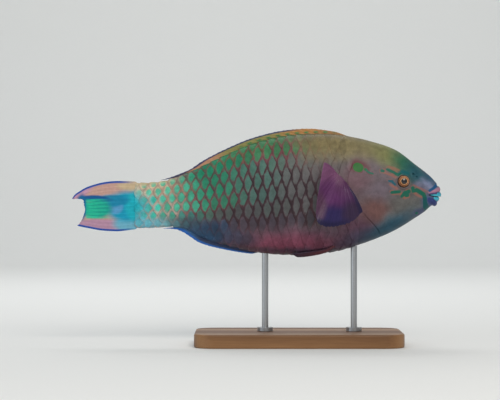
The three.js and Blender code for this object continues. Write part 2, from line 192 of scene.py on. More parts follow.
shape = {
    "tailRoot": -97,
    "snoutFront": 146.2,
    "back": smoothLine([
        (-99, 8.2), (-86, 7.9), (-74, 9.3), (-54, 16.4), (-46, 20.2), (-29, 28.5), (-5, 38.9), (19, 45.3),
        (44, 47.8), (68, 46.9), (92, 41.4), (113, 34.1), (129, 22.3), (141, 12.8), (147, 6.2)]),
    "belly": smoothLine([
        (-99, 29.8), (-82, 28.9), (-70, 28.4), (-58, 29.8), (-46, 36.4), (-29, 42.3), (-5, 48.1), (19, 50.8),
        (44, 50.7), (68, 47.5), (92, 39.8), (113, 30.7), (129, 20.9), (136.8, 15.6), (141, 11.8), (147, 8)]),
    "middle": smoothLine([
        (-99, -10.8), (-54, -8.5), (-5, -4), (44, -2), (92, -2.6), (129, -1.5), (147, -1)]),
    "halfWidth": smoothLine([
        (-99, 4.1), (-86, 5.2), (-70, 7.2), (-54, 10), (-29, 15), (-5, 19.2), (19, 22), (44, 23.2),
        (68, 23.1), (92, 21), (113, 17.2), (129, 13), (141, 8.9), (147, 6)]),
    "backKeel": 1.18,
    "bellyKeel": 0.94,
    "gill": smoothLine([
        (-60, 107), (-45, 104), (-36, 100.5), (-29, 96.5), (-22, 90), (-15, 83.7), (-8, 79), (0, 74.8),
        (8, 72.6), (14, 73.4), (24, 77), (60, 77)]),
    "coat": 0.6,  # depth of the scales over the skin
}


def sectionAt(x, above):
    # the section's middle height, its reach above or below that, and the power that makes its keel
    middle = shape["middle"](x)
    reach = np.where(above, shape["back"](x) - middle, shape["belly"](x) + middle)
    return middle, reach, np.where(above, shape["backKeel"], shape["bellyKeel"])


def skinPoint(x, turn, grow=0.0):
    # turn is 0 at the back and pi at the belly; positive on the left, negative on the right
    s, c = np.sin(turn), np.cos(turn)
    middle, reach, keel = sectionAt(x, c > 0)
    y = (shape["halfWidth"](x) + grow) * np.sign(s) * np.abs(s) ** keel
    return np.stack([x + 0 * turn, y, axisHeight + middle + (reach + grow) * c], -1)


def sideAt(x, height):
    # the body's half width at a place and a height
    middle, reach, keel = sectionAt(x, height > shape["middle"](x))
    c = np.clip(np.abs(height - middle) / reach, 0, 1)
    return shape["halfWidth"](x) * np.sqrt(1 - c * c) ** keel


# Paint: soft airbrushed patches over a ground colour, drawn from the side
# each patch: (place, height, half length, half height, tilt in degrees, colour, strength)

airbrush = {"waverMm": 14.3, "overspray": 0.6}


def paintGroup(name, ground, patches, softness=0.75, waver=4.0):
    tree = bpy.data.node_groups.new(name, "ShaderNodeTree")
    tree.interface.new_socket("Place", in_out="INPUT", socket_type="NodeSocketVector")
    tree.interface.new_socket("Color", in_out="OUTPUT", socket_type="NodeSocketColor")
    place = addNode(tree, "NodeGroupInput").outputs["Place"]
    # the airbrush never follows an edge exactly, so its patches waver by a few millimetres
    cloud = addNode(tree, "TexNoise", {"Scale": repeats(airbrush["waverMm"]), "Detail": 2.0},
                    {"Vector": place})
    centred = addNode(tree, "VectorMath", {"operation": "SUBTRACT", 1: (0.5, 0.5, 0.5)},
                      {0: cloud.outputs["Color"]})
    shifted = addNode(tree, "VectorMath", {**multiplyAdd, 1: (2 * waver * mm,) * 3}, {0: centred, 2: place})
    layer = addNode(tree, "RGB")
    layer.outputs[0].default_value = colour(ground)
    for x, height, long, high, tilt, tint, strength in patches:
        fitted = addNode(tree, "Mapping", {
            "vector_type": "TEXTURE", "Location": (x * mm, 0, (axisHeight + height) * mm),
            "Rotation": (0, math.radians(-tilt), 0), "Scale": (long * mm, 1000, high * mm)},
            {"Vector": shifted})
        far = addNode(tree, "VectorMath", length, {0: fitted})
        mask = addNode(tree, "MapRange", {
            **smooth, "From Min": 1 + softness * airbrush["overspray"], "From Max": 1 - softness,
            "To Max": strength}, {"Value": far})
        layer = addNode(tree, "Mix", {**colourMix, 7: colour(tint)}, {0: mask, 6: layer})
    addNode(tree, "NodeGroupOutput", links={0: layer})
    return tree


bodyPaint = paintGroup("bodyPaint", "#665e5c", [
    (-80, -8, 34, 26, 0, "#8dae9f", 1), (-86, 5, 30, 7, 8, "#c8b08c", 0.95),
    (-84, -26, 26, 7, 2, "#7fbcc6", 0.95), (-56, -10, 20, 16, 0, "#58806f", 0.85),
    (-58, -22, 18, 8, 0, "#52686e", 0.8), (-98, -26, 20, 6, 0, "#66aec4", 0.9),
    (-102, -12, 18, 14, 0, "#14acba", 1), (-34, 14, 34, 17, 24, "#4f6c5c", 0.9),
    (24, 12, 46, 20, 0, "#5d5556", 0.9), (20, -12, 46, 14, 0, "#53474d", 0.9),
    (48, 25, 34, 16, 0, "#4b4a46", 0.95), (60, 38, 44, 13, 0, "#7c6f4c", 1),
    (2, 39, 42, 8, 20, "#4c7450", 0.95), (-30, -32, 34, 11, -12, "#314257", 0.95),
    (-44, -37, 26, 7, -16, "#20486a", 0.95), (6, -28, 38, 12, -6, "#574450", 0.9),
    (58, -38, 44, 12, 0, "#644c5b", 0.9), (24, -41, 46, 9, 0, "#7f4257", 0.95),
    (-12, -39, 14, 8, 0, "#443f50", 0.85), (80, -24, 20, 16, 30, "#553649", 0.9),
    # the second patch on the next line, dark blue-grey along the belly's lowest edge, is painted shade on
    # the underside
    (84, -37, 26, 8, 24, "#3f3c52", 0.8), (23, -50, 74, 5, 0, "#23394a", 0.95),
    (60, 2, 22, 22, 0, "#614a52", 0.6), (92, 6, 26, 24, 0, "#63565c", 1),
    (80, 12, 12, 15, 0, "#6a4c55", 0.8), (95, -14, 14, 10, 0, "#6f4d4a", 0.9),
    (101, 0, 14, 8, 0, "#6a5e68", 0.8), (106, 31, 24, 11, -30, "#787a4e", 1),
    (84, 36, 18, 12, -10, "#7d7352", 0.7), (118, -20, 22, 9, 28, "#536670", 0.9),
    (106, -31, 26, 8, 28, "#1d495d", 0.95), (119, -8, 15, 11, 0, "#5c5b58", 0.85),
    (121, 23, 15, 11, -44, "#28644c", 0.95), (130, 14, 14, 8, -48, "#21525f", 0.95),
    (140, 6, 8, 4.4, -30, "#7b819e", 0.9), (133, 4.6, 7, 3, -24, "#6e6c84", 0.7),
    (142, 13, 9, 5, -50, "#1c4e68", 0.95), (140, -8, 7, 8, 0, "#3f5a84", 0.9),
    (134, -16, 9, 4, 30, "#333f6c", 0.7),
])

ovalPaint = paintGroup("ovalPaint", "#4e5452", [
    (-30, 12, 52, 26, 22, "#12805f", 1), (-76, -6, 34, 24, 0, "#48b091", 1),
    (-94, -12, 18, 15, 0, "#22bcac", 0.95), (16, 38, 50, 10, 8, "#387a4e", 0.9),
    (4, 8, 26, 20, 0, "#3f625c", 0.8), (40, 2, 24, 22, 0, "#5c5a5c", 0.8),
    (10, -26, 60, 10, 0, "#453b47", 0.9), (60, -38, 44, 12, 0, "#5f4b5a", 0.95),
    (24, -42, 44, 9, 0, "#794157", 0.95), (-20, -37, 20, 8, -10, "#36404f", 0.9),
    (-40, -30, 30, 9, -14, "#25405c", 0.95), (-72, -25, 26, 5, 0, "#5fa5b0", 0.8),
], softness=0.5)

netPaint = paintGroup("netPaint", "#734449", [
    (22, 4, 48, 22, 0, "#2c1e25", 0.92), (8, -20, 60, 12, 0, "#2a1e25", 0.88),
    (50, -38, 60, 12, 0, "#5a3a49", 0.9), (-86, -8, 30, 28, 0, "#b3a092", 0.95),
    (-36, -32, 34, 9, -12, "#2a364e", 0.9), (-38, 20, 28, 9, 28, "#566654", 0.8),
    (-36, 6, 24, 12, 0, "#4c4645", 0.7), (-8, 34, 40, 9, 22, "#6e5c42", 0.7),
    (-66, 0, 22, 8, 10, "#a07a66", 0.7),
], softness=0.5)

# how strongly the network of scale edges shows: it fades on the nape, the belly and behind the pectoral fin
netStrength = paintGroup("netStrength", "#ffffff", [
    (62, 30, 30, 22, 0, "#000000", 0.85), (80, 0, 22, 50, 0, "#000000", 0.95),
    (40, -38, 80, 12, 0, "#000000", 0.85), (60, 44, 46, 10, 0, "#000000", 0.8),
    (-104, -12, 17, 18, 0, "#000000", 1), (-90, 10, 30, 5, 6, "#000000", 0.9),
    (-50, -34, 26, 6, -14, "#000000", 0.8), (-66, -24, 40, 5, 0, "#000000", 0.7),
], softness=0.5)

# how wide the heart of each scale is: full on the flank, a small round dot on the tail stem
heartWidth = paintGroup("heartWidth", "#ffffff", [(-88, -8, 40, 60, 0, "#dddddd", 1)], softness=0.45)


# Skin: one closed surface from the body, the lips and the eye rims, melted together and smoothed

mouth = {
    "corner": 139, "front": 156.2, "upperCorner": -2.1, "upperFront": -0.9, "lowerCorner": -2.7,
    "lowerFront": -6.3, "chinCut": 143.6, "cornerSize": 0.45, "lipStations": 49, "lipAround": 24,
    "upperLip": {"front": 146.8, "height": 2, "width": 7.2, "high": 2.9, "deep": 2.4, "cornerHeight": -0.4},
    "lowerLip": {"front": 144.4, "height": -8.9, "width": 6.7, "high": 2.7, "deep": 2.2, "cornerHeight": -4},
    "lining": (8.6, 5, 3.2),  # half length, half width and half height
    "liningHeight": -3.6,
}
eye = {
    "x": 118.2, "height": 8.4, "radius": 6.2, "proud": 1.9, "socketEdge": (4.1, 5.0), "socketDepth": 3.2,
    "rim": 5.5, "rimThick": 1.15, "rimProud": 0.35, "rimStations": 72, "rimAround": 16, "yaw": 0.24,
    "roll": 0.2,
}
skin = {
    "step": 0.5, "smoothing": 7, "around": 220, "stations": 420,
    "rear": -98.6, "taperFrom": -96.5, "taper": 0.3,
    "bare": (70, 92),  # where the skin rises to the full outline, in front of the scales
}


def bodyRings():
    # the body's rings, sunk by the scales' depth where the scales lie, and drawn in at the tail
    x = np.linspace(skin["rear"], shape["snoutFront"], skin["stations"])[:, None]
    turn = (np.arange(skin["around"]) * 2 * np.pi / skin["around"])[None, :]
    scaled = 1 - ease(*skin["bare"], x)
    depth = -shape["coat"] * scaled - skin["taper"] * ease(skin["taperFrom"], skin["rear"], x)
    return skinPoint(x + 0 * turn, turn + 0 * x, depth)


def closedTube(rings):
    # points and quads of a tube of rings, with a fan of thin quads at each end
    count, around = rings.shape[:2]
    points = rings.reshape(-1, 3)
    faces = gridFaces(count, around, closed=True)
    ends = []
    for start, ring, flip in ((0, rings[0], True), ((count - 1) * around, rings[-1], False)):
        centre = len(points)
        points = np.vstack([points, ring.mean(0)])
        j = np.arange(0, around, 2)
        corners = [centre + 0 * j, start + j, start + (j + 1) % around, start + (j + 2) % around]
        fan = np.stack(corners, -1)
        ends.append(fan[:, ::-1] if flip else fan)
    return points, np.vstack([faces] + ends)


def lipRings(lip):
    # a soft roll from one corner of the mouth round to the other, thinner at the corners
    turn = np.linspace(-0.5, 0.5, mouth["lipStations"])[:, None] * np.pi
    spin = np.linspace(0, 2 * np.pi, mouth["lipAround"], endpoint=False)[None, :]
    forward = np.clip(np.cos(turn), 0, 1)
    size = mix(mouth["cornerSize"], 1, forward ** 0.8)
    height = mix(lip["cornerHeight"], lip["height"], forward ** 0.9)
    out = lip["deep"] * size * np.cos(spin)
    return np.stack([
        mix(mouth["corner"], lip["front"], forward) + out * forward,
        (lip["width"] + out) * np.sin(turn),
        axisHeight + height + lip["high"] * size * np.sin(spin)], -1)


def liningRings():
    # the soft wall inside the mouth, which closes the slot between the jaws
    turn = np.linspace(0.06, np.pi - 0.06, 20)[:, None]
    spin = np.linspace(0, 2 * np.pi, mouth["lipAround"], endpoint=False)[None, :]
    long, wide, high = mouth["lining"]
    girth = np.sin(turn) ** 0.5
    return np.stack([
        mouth["corner"] - long * np.cos(turn) + 0 * spin, wide * girth * np.cos(spin),
        axisHeight + mouth["liningHeight"] + high * girth * np.sin(spin)], -1)


def rimRings(side):
    # a raised ring round the eye, turned to lie on the flank of the head
    a = np.linspace(0, 2 * np.pi, eye["rimStations"], endpoint=False)[:, None]
    b = np.linspace(0, 2 * np.pi, eye["rimAround"], endpoint=False)[None, :]
    ring = eye["rim"] + eye["rimThick"] * np.cos(b)
    flatX, flatY, flatZ = ring * np.cos(a), eye["rimThick"] * np.sin(b) + 0 * a, ring * np.sin(a)
    yaw, roll = eye["yaw"], eye["roll"]
    x = flatX * math.cos(yaw) - flatY * math.sin(yaw)
    outward = flatX * math.sin(yaw) + flatY * math.cos(yaw)
    y = outward * math.cos(roll) + flatZ * math.sin(roll)
    z = flatZ * math.cos(roll) - outward * math.sin(roll)
    flank = sideAt(eye["x"], eye["height"]) - eye["rimProud"]
    return np.stack([x + eye["x"], side * (flank - y), z + axisHeight + eye["height"]], -1)


def meltedSkin():
    # upper and lower jaw cut from the same body, with lips, lining and eye rims, melted into one surface
    rings = bodyRings()
    share = np.clip((rings[..., 0] - mouth["corner"]) / (mouth["front"] - mouth["corner"]), 0, 1)
    ahead = rings[..., 0] > mouth["corner"]
    upper = rings.copy()
    roof = axisHeight + mix(mouth["upperCorner"], mouth["upperFront"], share)
    upper[..., 2] = np.where(ahead, np.maximum(upper[..., 2], roof), upper[..., 2])
    lower = rings[rings[:, 0, 0] < mouth["chinCut"]].copy()
    floor = axisHeight + mix(mouth["lowerCorner"], mouth["lowerFront"], share)[:len(lower)]
    lower[..., 2] = np.where(ahead[:len(lower)], np.minimum(lower[..., 2], floor), lower[..., 2])
    tubes = [upper, lower, lipRings(mouth["upperLip"]), lipRings(mouth["lowerLip"]), liningRings()]
    shells = [closedTube(tube) for tube in tubes]
    for side, sideName in sides[::-1]:
        ring = rimRings(side)
        faces = gridFaces(len(ring) + 1, eye["rimAround"], closed=True) % (len(ring) * eye["rimAround"])
        shells.append((ring.reshape(-1, 3), faces))
    points, faces, count = [], [], 0
    for shellPoints, shellFaces in shells:
        points.append(shellPoints)
        faces.append(shellFaces + count)
        count += len(shellPoints)
    rough = newPiece("roughSkin", np.vstack(points), np.vstack(faces), None)
    remesh = rough.modifiers.new("melt", "REMESH")
    remesh.mode = "VOXEL"
    remesh.voxel_size = skin["step"] * mm
    bpy.context.view_layer.update()
    melted = bpy.data.meshes.new_from_object(rough.evaluated_get(bpy.context.evaluated_depsgraph_get()))
    points = np.empty(len(melted.vertices) * 3)
    melted.vertices.foreach_get("co", points)
    faces = np.empty(len(melted.loops), int)
    melted.loops.foreach_get("vertex_index", faces)
    bpy.data.objects.remove(rough)
    return points.reshape(-1, 3) / mm, faces.reshape(-1, 4)


def relax(points, faces, rounds):
    # each round moves every point towards the middle of its neighbours, then a little less back out
    a = np.concatenate([faces[:, i] for i in range(4)])
    b = np.concatenate([faces[:, (i + 1) % 4] for i in range(4)])
    count = len(points)
    degree = np.bincount(a, minlength=count)[:, None] + np.bincount(b, minlength=count)[:, None]
    for strength in (0.55, -0.5) * rounds:
        near = np.column_stack([
            np.bincount(a, points[b, k], count) + np.bincount(b, points[a, k], count) for k in range(3)])
        points = points + strength * (near / degree - points)
    return points


def surfaceNormals(points, faces):
    across = points[faces[:, 2]] - points[faces[:, 0]]
    other = points[faces[:, 3]] - points[faces[:, 1]]
    flat = np.cross(across, other)
    total = np.column_stack([
        sum(np.bincount(faces[:, i], flat[:, k], len(points)) for i in range(4)) for k in range(3)])
    return total / np.maximum(np.linalg.norm(total, axis=1, keepdims=True), 1e-12)


cover = {
    "top": (17, 26), "bottom": (-39, -31),  # heights over which the cover's edge fades out
    "proud": 0.6, "fade": 16, "groove": 0.2, "grooveWide": 1.8,
}
nostril = {
    "places": [(129.2, 12.4, 0.8), (126.6, 14.6, 1.1)],  # place, height, radius
    "rim": 0.25, "deep": 1.5,
}


def sculptSkin(points, faces):
    # raises the gill cover over its opening, sinks the eye sockets and pricks the nostrils
    out = surfaceNormals(points, faces)
    x, y, z = points.T
    height = z - axisHeight
    behind = shape["gill"](height) - x  # positive behind the opening
    reach = (1 - ease(*cover["top"], height)) * ease(*cover["bottom"], height) * ease(1.0, 3.5, np.abs(y))
    lift = cover["proud"] * ease(-cover["fade"], -1.2, behind) * (1 - ease(-0.7, 0, behind))
    sink = cover["groove"] * ease(-0.4, 0.3, behind) * (1 - ease(0.6, cover["grooveWide"], behind))
    move = (lift - sink) * reach
    onSide = np.abs(y) > 4
    fromEye = np.hypot(x - eye["x"], height - eye["height"])
    move -= np.where(onSide, eye["socketDepth"] * (1 - ease(*eye["socketEdge"], fromEye)), 0)
    for place, high, radius in nostril["places"]:
        far = np.hypot(x - place, height - high)
        rim = nostril["rim"] * np.exp(-((far - radius * 1.35) / 0.45) ** 2)
        hole = nostril["deep"] * (1 - ease(radius * 0.45, radius * 1.05, far))
        move += np.where(onSide, rim - hole, 0)
    return points + out * move[:, None]


# Head marks: painted strokes, each a list of (place, height, half thickness)

headMarks = {
    "green": [
        [(80.8, 19.9, 3.6), (82.2, 19.4, 3.6)], [(87.3, 18, 1.2), (88.2, 17.5, 1.1)],
        [(88.8, 16.5, 0.8), (90.6, 15.3, 0.85), (93.2, 14.6, 0.7)], [(100.6, 17, 1.2), (101.8, 16.8, 1.2)],
        [(105, 18.1, 0.9), (107.6, 17, 1.2), (110.4, 15.7, 1.2), (113.4, 13.8, 1.2), (115.6, 14.6, 0.9)],
        [(106.3, 8.9, 0.8), (108.7, 8.5, 1.1), (111.2, 5.9, 0.9)], [(108.7, -0.4, 1.3), (114.7, 0.1, 1.3)],
        [(116.8, -3.4, 1.3), (119.2, -1.1, 1.7), (122.6, 0.5, 1.6)],
        [(120.3, -3.1, 1.3), (121.6, -2.8, 1.3)],
        [(125.7, 3.1, 1.5), (126, 0.6, 1.4), (129.1, 1.5, 1.7), (132.1, -0.4, 1.7), (134.7, -2, 1.7),
         (135.8, -5.2, 1.7), (136, -8.6, 1.8), (136.7, -11.8, 2.3), (138.4, -13.8, 2.4)],
        [(129, -17.2, 0.9), (129.6, -17, 0.9)],
    ],
    "teal": [[(114.4, 14.6, 1.3), (117.6, 15.8, 2.0), (121.8, 14.8, 1.4)]],
    "blue": [[(139.8, 1.0, 1.1), (143.2, 3.2, 1.2), (146.4, 6.2, 1.4), (147.6, 9.0, 1.4)]],
    "salmon": [
        [(105.8, 20.4, 0.6), (110.4, 19.2, 0.8), (114.6, 17.4, 0.7)],
        [(103.4, 15.2, 0.6), (108.7, 13.4, 0.9), (111.7, 11.6, 0.7)],
        [(107.1, 6.0, 0.6), (110, 4.2, 0.9), (112.9, 2.8, 0.7)], [(119, -5.2, 0.6), (122.6, -3.2, 0.7)],
        [(128, -1.8, 0.7), (132.8, -4.2, 0.7)],
        [(126.4, 5.4, 0.5), (131, 3.4, 0.5), (135.6, 1.4, 0.5), (138.4, 0, 0.4)],
    ],
    "red": [[(77.2, 19, 2.4), (80, 22.6, 3.6), (86, 21.6, 2.2), (90, 19, 0.8)]],
    "dark": [[(139, -2.4, 0.3), (148, -3.7, 2.2)]],
    "pink": [[(140, -0.4, 1.2), (144.9, 0.8, 1.6), (149.4, 2.6, 1.8)]],
    "violet": [
        [(139.6, -6.4, 2.0), (143.6, -8.4, 3.2), (145, -6, 2.4)], [(140, -1.8, 0.7), (149.6, 0.0, 0.6)]],
}


def strokeDistance(x, height, strokes):
    # millimetres outside the nearest stroke; negative inside, and 9 where no stroke is near
    nearest = np.full(len(x), 9.0)
    for stroke in strokes:
        for (x0, z0, r0), (x1, z1, r1) in zip(stroke, stroke[1:]):
            along = ((x - x0) * (x1 - x0) + (height - z0) * (z1 - z0)) / ((x1 - x0) ** 2 + (z1 - z0) ** 2)
            t = np.clip(along, 0, 1)
            far = np.hypot(x - mix(x0, x1, t), height - mix(z0, z1, t)) - mix(r0, r1, t)
            nearest = np.minimum(nearest, far)
    return nearest


def mottled(tree, place, layer, cloudMm, speckMm):
    # cloudy mottling a few millimetres across, and fine specks of spatter over it
    for size, low, high, detail in ((cloudMm, 0.74, 1.26, 3.0), (speckMm, 0.84, 1.16, 1.0)):
        noise = addNode(tree, "TexNoise", {"Scale": repeats(size), "Detail": detail}, {"Vector": place})
        tone = addNode(tree, "MapRange", {"From Min": 0.2, "From Max": 0.8, "To Min": low, "To Max": high},
                       {"Value": noise})
        layer = addNode(tree, "HueSaturation", {}, {"Value": tone, "Color": layer})
    return layer


# Skin: resin cast, airbrushed with acrylic colours under a satin lacquer: the eye sees a soft, broad gloss,
# cloudy mottling and fine spatter, and no grain
skinLook = {
    "roughness": 0.46, "coat": 0.07, "coatRoughness": 0.24, "mottleMm": 5, "speckMm": 0.7, "poreMm": 0.9,
    "poreDepth": 0.05,
    "teal": "#065a60", "blue": "#124f7c", "salmon": "#9c5e4c", "pink": "#b07a92", "violet": "#2b3670",
    "dark": "#150f20", "red": "#5c262d",
}
markEdges = {  # half width in mm of the soft edge of each colour's strokes, and how well the colour covers
    "red": (2.4, 0.85), "salmon": (0.9, 0.7), "pink": (0.8, 0.9), "violet": (0.9, 0.9), "teal": (1.1, 0.95),
    "blue": (0.3, 0.95), "dark": (0.4, 0.95), "green": (0.35, 0.96),
}
halo = {"outer": 1.5, "inner": 0.3, "strength": 0.7, "patchMm": 3.846}  # mm outside a green stroke


haloPaint = paintGroup("haloPaint", "#965c4b", [
    (82, 20, 14, 12, 0, "#5e2a30", 1), (132, -15, 12, 11, 0, "#414a58", 1)], softness=0.3)
markPaint = paintGroup("markPaint", "#035e4c", [
    (81.2, 19.8, 5.6, 5.6, 0, "#0a641c", 1), (108, 7, 6, 5, 0, "#125466", 0.9),
    (136, -12, 8, 8, 0, "#074e52", 0.9)], softness=0.3)


def paintMarks(tree, place, layer):
    # the strokes on the head, the green ones with a warm halo that comes and goes
    outside = addNode(tree, "Attribute", {"attribute_name": "green"}).outputs["Fac"]
    near = addNode(tree, "MapRange", {
        **smooth, "From Min": halo["outer"], "From Max": halo["inner"], "To Max": halo["strength"]},
        {"Value": outside})
    cloud = addNode(tree, "TexNoise", {"Scale": repeats(halo["patchMm"]), "Detail": 1.0}, {"Vector": place})
    patchy = addNode(tree, "MapRange", {"From Min": 0.44, "From Max": 0.58}, {"Value": cloud})
    warm = addNode(tree, "Math", multiply, {0: near, 1: patchy})
    paint = addNode(tree, "Group", {"node_tree": haloPaint}, {"Place": place})
    layer = addNode(tree, "Mix", colourMix, {0: warm, 6: layer, 7: paint})
    for name, (edge, strength) in markEdges.items():
        outside = addNode(tree, "Attribute", {"attribute_name": name}).outputs["Fac"]
        mark = addNode(tree, "MapRange", {**smooth, "From Min": edge, "From Max": -edge, "To Max": strength},
                       {"Value": outside})
        if name == "green":
            paint = addNode(tree, "Group", {"node_tree": markPaint}, {"Place": place})
            layer = addNode(tree, "Mix", colourMix, {0: mark, 6: layer, 7: paint})
        else:
            layer = addNode(tree, "Mix", {**colourMix, 7: colour(skinLook[name])}, {0: mark, 6: layer})
    return layer


def setMarks(piece, points):
    # each point's distance from the strokes of each colour
    for name, strokes in headMarks.items():
        setAttribute(piece, name, strokeDistance(points[:, 0], points[:, 2] - axisHeight, strokes))


def makeSkinMaterial():
    material, tree = newMaterial("airbrushedResinSkin")
    place = addNode(tree, "TexCoord").outputs["Object"]
    ground = addNode(tree, "Group", {"node_tree": bodyPaint}, {"Place": place})
    layer = mottled(tree, place, ground, skinLook["mottleMm"], skinLook["speckMm"])
    layer = paintMarks(tree, place, layer)
    pores = addNode(tree, "TexVoronoi", {"Scale": repeats(skinLook["poreMm"])}, {"Vector": place})
    relief = addNode(tree, "Bump", {"Strength": 0.35, "Distance": skinLook["poreDepth"] * mm},
                     {"Height": pores.outputs["Distance"]})
    # the lacquer lies a little unevenly
    cloud = addNode(tree, "TexNoise", {"Scale": repeats(skinLook["mottleMm"]), "Detail": 3.0},
                    {"Vector": place})
    gloss = addNode(tree, "MapRange", {
        "To Min": skinLook["roughness"] - 0.06, "To Max": skinLook["roughness"] + 0.08}, {"Value": cloud})
    finishMaterial(tree, {
        "Coat Weight": skinLook["coat"], "Coat Roughness": skinLook["coatRoughness"],
        "Specular IOR Level": 0.2}, {"Base Color": layer, "Roughness": gloss, "Normal": relief})
    return material


skinMaterial = makeSkinMaterial()
print("paint mixed")


def buildSkin():
    points, faces = meltedSkin()
    points = relax(points, faces, skin["smoothing"])
    points = sculptSkin(points, faces)
    solids = ("head", "lower_jaw", "gill_cover_right", "gill_cover_left", "trunk", "tail_stem")
    setMarks(newPiece("skin", points, faces, skinMaterial, solids), points)
    print("skin:", len(faces), "quads")


buildSkin()


# Scales: large overlapping plates in slanting rows, each free at its rear edge

scales = {
    "pitch": 7.7,  # spacing along a row
    "first": -95.5, "last": 99, "rowsEachWay": 8,
    "parting": 12,  # where the front pieces meet the rear ones
    "rowLine": smoothLine([(-97, -2.5), (-42, -3), (-5, 0), (43, 4.4), (75, 6), (100, 7)]),
    "rowGap": smoothLine([(-97, 6.3), (-78, 6.7), (-40, 9), (7, 11.9), (50, 12.2), (95, 11.2)]),
    "overhang": 0.35,  # how far a row may pass the back's or the belly's line, in row gaps
    "thick": 0.3, "rise": 0.62, "bury": 0.45, "dome": 0.14, "lip": 0.12, "lift": 0.05,
    "length": 1.75,  # of one plate, in pitches
    "halfHigh": 1.16,  # of one plate, in row gaps
    "round": 1.7,  # power of the rear edge's curve
    "columns": 15, "rows": 15, "tilt": 0.05, "sizes": 0.015,
    "flatFront": (66, 96), "flatRear": (-100, -82), "nape": (28, 56), "napeUp": (12, 26),
    "underCover": 2.2, "coverTop": 24, "napeFront": 96, "napeSlant": 0.35,
}


def makeArcTable(stations=260, turns=160):
    # turn round the body for a share of the way from the flank's middle to the back (+1) or the belly (-1)
    x = np.linspace(shape["tailRoot"], 112, stations)
    shares = np.linspace(-1, 1, 121)
    table = np.empty((stations, len(shares)))
    up = np.empty(stations)
    down = np.empty(stations)
    turn = np.linspace(0, np.pi, turns * 2 + 1)
    for i, place in enumerate(x):
        ring = skinPoint(np.full(len(turn), place), turn)
        walked = np.concatenate([[0], np.cumsum(np.linalg.norm(np.diff(ring, axis=0), axis=1))])
        up[i] = walked[turns]
        down[i] = walked[-1] - walked[turns]
        offset = walked[turns] - walked  # positive towards the back
        share = np.where(offset > 0, offset / up[i], offset / down[i])
        table[i] = np.interp(shares, share[::-1], turn[::-1])
    return x, shares, table, up, down


arcX, arcShares, arcTable, arcUp, arcDown = makeArcTable()


def flankTurn(x, up):
    # turn at a distance up the flank from its middle, held just short of the back and the belly
    station = np.clip((x - arcX[0]) / (arcX[1] - arcX[0]), 0, len(arcX) - 1.001)
    i = station.astype(int)
    t = station - i
    reach = np.where(up > 0, np.interp(x, arcX, arcUp), np.interp(x, arcX, arcDown))
    share = np.clip(up / reach, -0.992, 0.992)
    column = (share + 1) / 2 * (len(arcShares) - 1)
    j = np.clip(column.astype(int), 0, len(arcShares) - 2)
    s = column - j
    here, beyond = (mix(arcTable[k, j], arcTable[k, j + 1], s) for k in (i, i + 1))
    return mix(here, beyond, t)


def turnAt(x, up):
    return float(flankTurn(np.array([x]), np.array([up]))[0])


def scaleHomes():
    # the middle of each scale: place, distance up the flank, row
    homes = []
    count = int((scales["last"] - scales["first"]) / scales["pitch"]) + 1
    for row in range(-scales["rowsEachWay"], scales["rowsEachWay"] + 1):
        for i in range(count):
            x = scales["first"] + (i + 0.5 * (row % 2)) * scales["pitch"]
            gap = scales["rowGap"](x)
            up = scales["rowLine"](x) + row * gap
            over = scales["overhang"] * gap
            if not -np.interp(x, arcX, arcDown) - over < up < np.interp(x, arcX, arcUp) + over:
                continue
            height = skinPoint(x, turnAt(x, up))[2] - axisHeight
            # the scales end under the gill cover's edge, and above it on a slanting line across the nape
            above = height - scales["coverTop"]
            coverEdge = shape["gill"](height) - scales["underCover"]
            if x < (coverEdge if above < 0 else scales["napeFront"] - scales["napeSlant"] * above):
                homes.append((x, float(up), row))
    return homes


def edgeShow(x, up):
    # the free edge shows most on the flank; it lies flat behind the head, at the nape and on the stem's end
    nape = ease(*scales["nape"], x) * ease(*scales["napeUp"], up)
    return float((1 - 0.7 * ease(*scales["flatFront"], x)) * ease(*scales["flatRear"], x) * (1 - 0.8 * nape))


